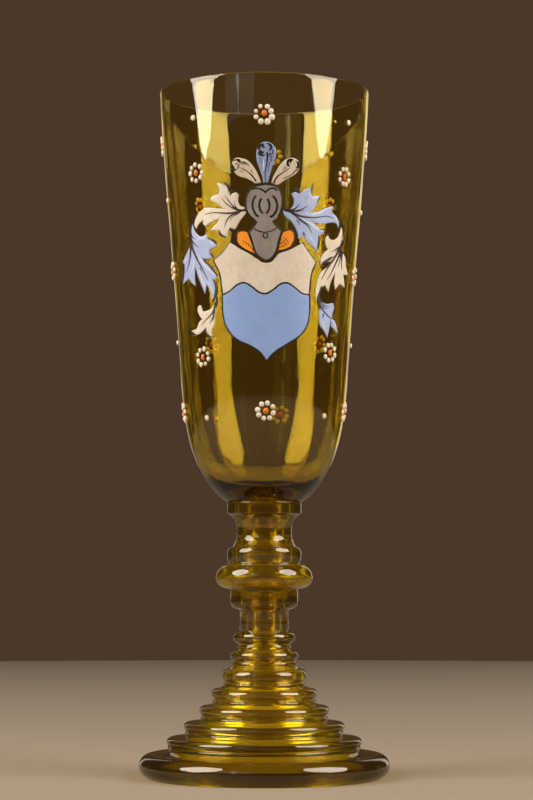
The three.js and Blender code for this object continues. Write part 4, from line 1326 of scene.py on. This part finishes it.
# Each patch with an outline, and its paint.
PATCHES = {
    "helm": "helm_grey",
    "plume_centre": "plume_blue",
    "plume_left": "plume_cream",
    "plume_right": "plume_cream",
    "lining_left": "orange",
    "lining_right": "orange",
    "leaf_upper_left": "cream",
    "leaf_upper_right": "leaf_blue",
    "leaf_lower_left": "leaf_blue",
    "leaf_lower_right": "cream",
    "leaf_tail_left": "cream",
    "leaf_tail_right": "leaf_blue",
}

# Parts of an outline that carry a black line: first and last corner, and the line's width.
EDGE_LINES = {
    "helm": ((0, 8, 0.62), (20, 25, 0.56), (9, 17, 0.62)),
    "lining_left": ((0, 3, 0.6), (3, 8, 0.55)),
    "lining_right": ((0, 2, 0.4), (2, 7, 0.5)),
}
PENDANT = (0.5, 10.75, 0.9, 1.2)
PENDANT_LINE = 0.6
PENDANT_STEPS = 12


def paint_edges(painting, name):
    outline = OUTLINES[name]
    for first, last, width in EDGE_LINES.get(name, ()):
        points = [outline[index % len(outline)] for index in range(first, last + 1)]
        paint_line(painting, points, width, bar)


def paint_pendant(painting):
    """The small ring that hangs at the helm's neck."""
    x, height, across, tall = PENDANT
    turns = [2 * math.pi * step / PENDANT_STEPS for step in range(PENDANT_STEPS + 1)]
    ring = [(x + across * math.sin(turn), height + tall * math.cos(turn)) for turn in turns]
    paint_line(painting, ring, PENDANT_LINE, bar)


def paint_flower(name, azimuth, height, materials):
    rng = random.Random(name)
    painting = Painting(azimuth, height)
    if name == TOP_FLOWER:
        beads = TOP_FLOWER_BEADS
    else:
        start = rng.uniform(0, math.pi / 4)
        beads = []
        for petal in range(FLOWER_PETALS):
            turn = start + 2 * math.pi * petal / FLOWER_PETALS + rng.uniform(*PETAL_TURN)
            ring = FLOWER_RING * rng.uniform(*RING_SPREAD)
            radius = PETAL_RADIUS * rng.uniform(*PETAL_SPREAD)
            beads.append((ring * math.cos(turn), ring * math.sin(turn), radius))
    for x, y, radius in beads:
        tall = radius * rng.uniform(*PETAL_TALL)
        paint_bead(painting, x, y, radius, tall, BEAD_RISE * rng.uniform(*PETAL_RISE))
    paint_bead(painting, 0, 0, *CENTRE_BEAD, BEAD_RISE, SECOND)
    finish_piece(painting, name, materials)


def numbered(kind, table):
    """Each flower or dot's name, azimuth and height."""
    for side, places in table.items():
        for number, (azimuth, height) in enumerate(places, 1):
            yield f"{kind}_{side}_{number}", azimuth, height


def painted_pieces():
    paints = paint_materials()
    line = paints["line_black"]
    paint_shield(paints["cream"], paints["shield_blue"], line)
    for name, paint in PATCHES.items():
        painting = Painting()
        paint_patch(painting, OUTLINES[name])
        paint_edges(painting, name)
        paint_touches(painting, name)
        paint_lines(painting, name)
        if name == "helm":
            paint_pendant(painting)
        materials = [paints[paint], line]
        if name in TOUCHES:
            materials.append(paints["touch_white"])
        finish_piece(painting, name, materials)
    for name, azimuth, height in numbered("flower", FLOWERS):
        paint_flower(name, azimuth, height, [paints["bead_cream"], paints["bead_orange"]])
    for name, azimuth, height in numbered("dot", DOTS):
        painting = Painting(azimuth, height)
        paint_bead(painting, 0, 0, DOT_RADIUS, DOT_RADIUS, BEAD_RISE)
        finish_piece(painting, name, [paints["bead_cream"]])


# Stage: a round pale floor, a plain backdrop, an oval soft box on each side of the camera, a weak strip
# on each side behind the goblet, and a dim window with two brighter gaps.

def floor_material():
    material, _, surface = new_material("floor")
    surface.inputs["Base Color"].default_value = rgba(FLOOR)
    surface.inputs["Roughness"].default_value = FLOOR_ROUGHNESS
    surface.inputs["Specular IOR Level"].default_value = FLOOR_SPECULAR
    return material


def build_floor():
    bpy.ops.mesh.primitive_circle_add(vertices=FLOOR_SIDES, radius=FLOOR_RADIUS, fill_type="NGON")
    floor = bpy.context.object
    floor.name = "floor"
    floor.data.materials.append(floor_material())


AMBIENT = (255, 244, 228)
AMBIENT_STRENGTH = 0.06


def build_world():
    world = bpy.data.worlds.new("studio")
    bpy.context.scene.world = world
    world.use_nodes = True
    tree = world.node_tree
    tree.nodes.clear()
    output = tree.nodes.new("ShaderNodeOutputWorld")
    path = tree.nodes.new("ShaderNodeLightPath").outputs
    seen = add_maths(tree, "MAXIMUM", path["Is Camera Ray"], path["Is Glossy Ray"])
    seen = add_maths(tree, "MAXIMUM", seen, path["Is Transmission Ray"])
    backgrounds = []
    for colour, strength in ((AMBIENT, AMBIENT_STRENGTH), (BACKDROP, 1.0)):
        background = tree.nodes.new("ShaderNodeBackground")
        background.inputs["Color"].default_value = rgba(colour)
        background.inputs["Strength"].default_value = strength
        backgrounds.append(background.outputs[0])
    show_mixed(tree, output, seen, *backgrounds)


# Each lamp: its name and shape, azimuth from the camera in degrees towards +X, distance, level, width,
# height, radiance and colour.
WARM = (1.0, 0.87, 0.72)
COOL = (0.82, 0.92, 1.0)
LAMP_AIM = (0, 0, 0.2)
LAMPS = (
    ("soft_box_left", "ELLIPSE", -68.5, 1.22, 0.88, 1.0, 1.24, 13.0, WARM),
    ("soft_box_right", "ELLIPSE", 66, 1.22, 0.88, 1.06, 1.24, 11.5, WARM),
    ("edge_strip_left", "RECTANGLE", -157, 1.25, 0.36, 0.14, 0.9, 0.8, WARM),
    ("edge_strip_right", "RECTANGLE", 155, 1.25, 0.36, 0.24, 0.9, 1.0, WARM),
    ("window", "RECTANGLE", -27, 2.2, 1.0, 1.3, 1.2, 0.35, COOL),
    ("window_gap_left", "RECTANGLE", -29.6, 2.15, 1.0, 0.05, 0.95, 4.0, COOL),
    ("window_gap_right", "RECTANGLE", -27.6, 2.15, 1.0, 0.05, 1.2, 2.2, COOL),
)


def build_lamps():
    for name, shape, azimuth, distance, level, width, height, radiance, colour in LAMPS:
        lamp = bpy.data.lights.new(name, "AREA")
        lamp.shape = shape
        lamp.size = width
        lamp.size_y = height
        fills = math.pi / 4 if shape == "ELLIPSE" else 1.0
        lamp.energy = math.pi * radiance * fills * width * height
        lamp.color = colour
        holder = add_object(name, lamp)
        turn = math.radians(azimuth)
        place = Vector((distance * math.sin(turn), -distance * math.cos(turn), level))
        holder.location = place
        aim = Vector(LAMP_AIM) - place
        holder.rotation_euler = aim.to_track_quat("-Z", "Y").to_euler()
        holder.visible_camera = False


def build_camera():
    camera = bpy.data.cameras.new("camera")
    camera.lens = CAMERA_LENS
    camera.sensor_width = CAMERA_SENSOR
    camera.sensor_fit = "AUTO"
    camera.clip_start = CAMERA_CLIP
    holder = add_object("camera", camera)
    holder.location = CAMERA_PLACE
    holder.rotation_euler = (math.radians(90 + CAMERA_PITCH), 0, math.radians(CAMERA_YAW))
    bpy.context.scene.camera = holder


build_camera()
build_world()
build_lamps()
build_floor()
glass_pieces()
painted_pieces()

bpy.context.scene.view_settings.view_transform = "Standard"
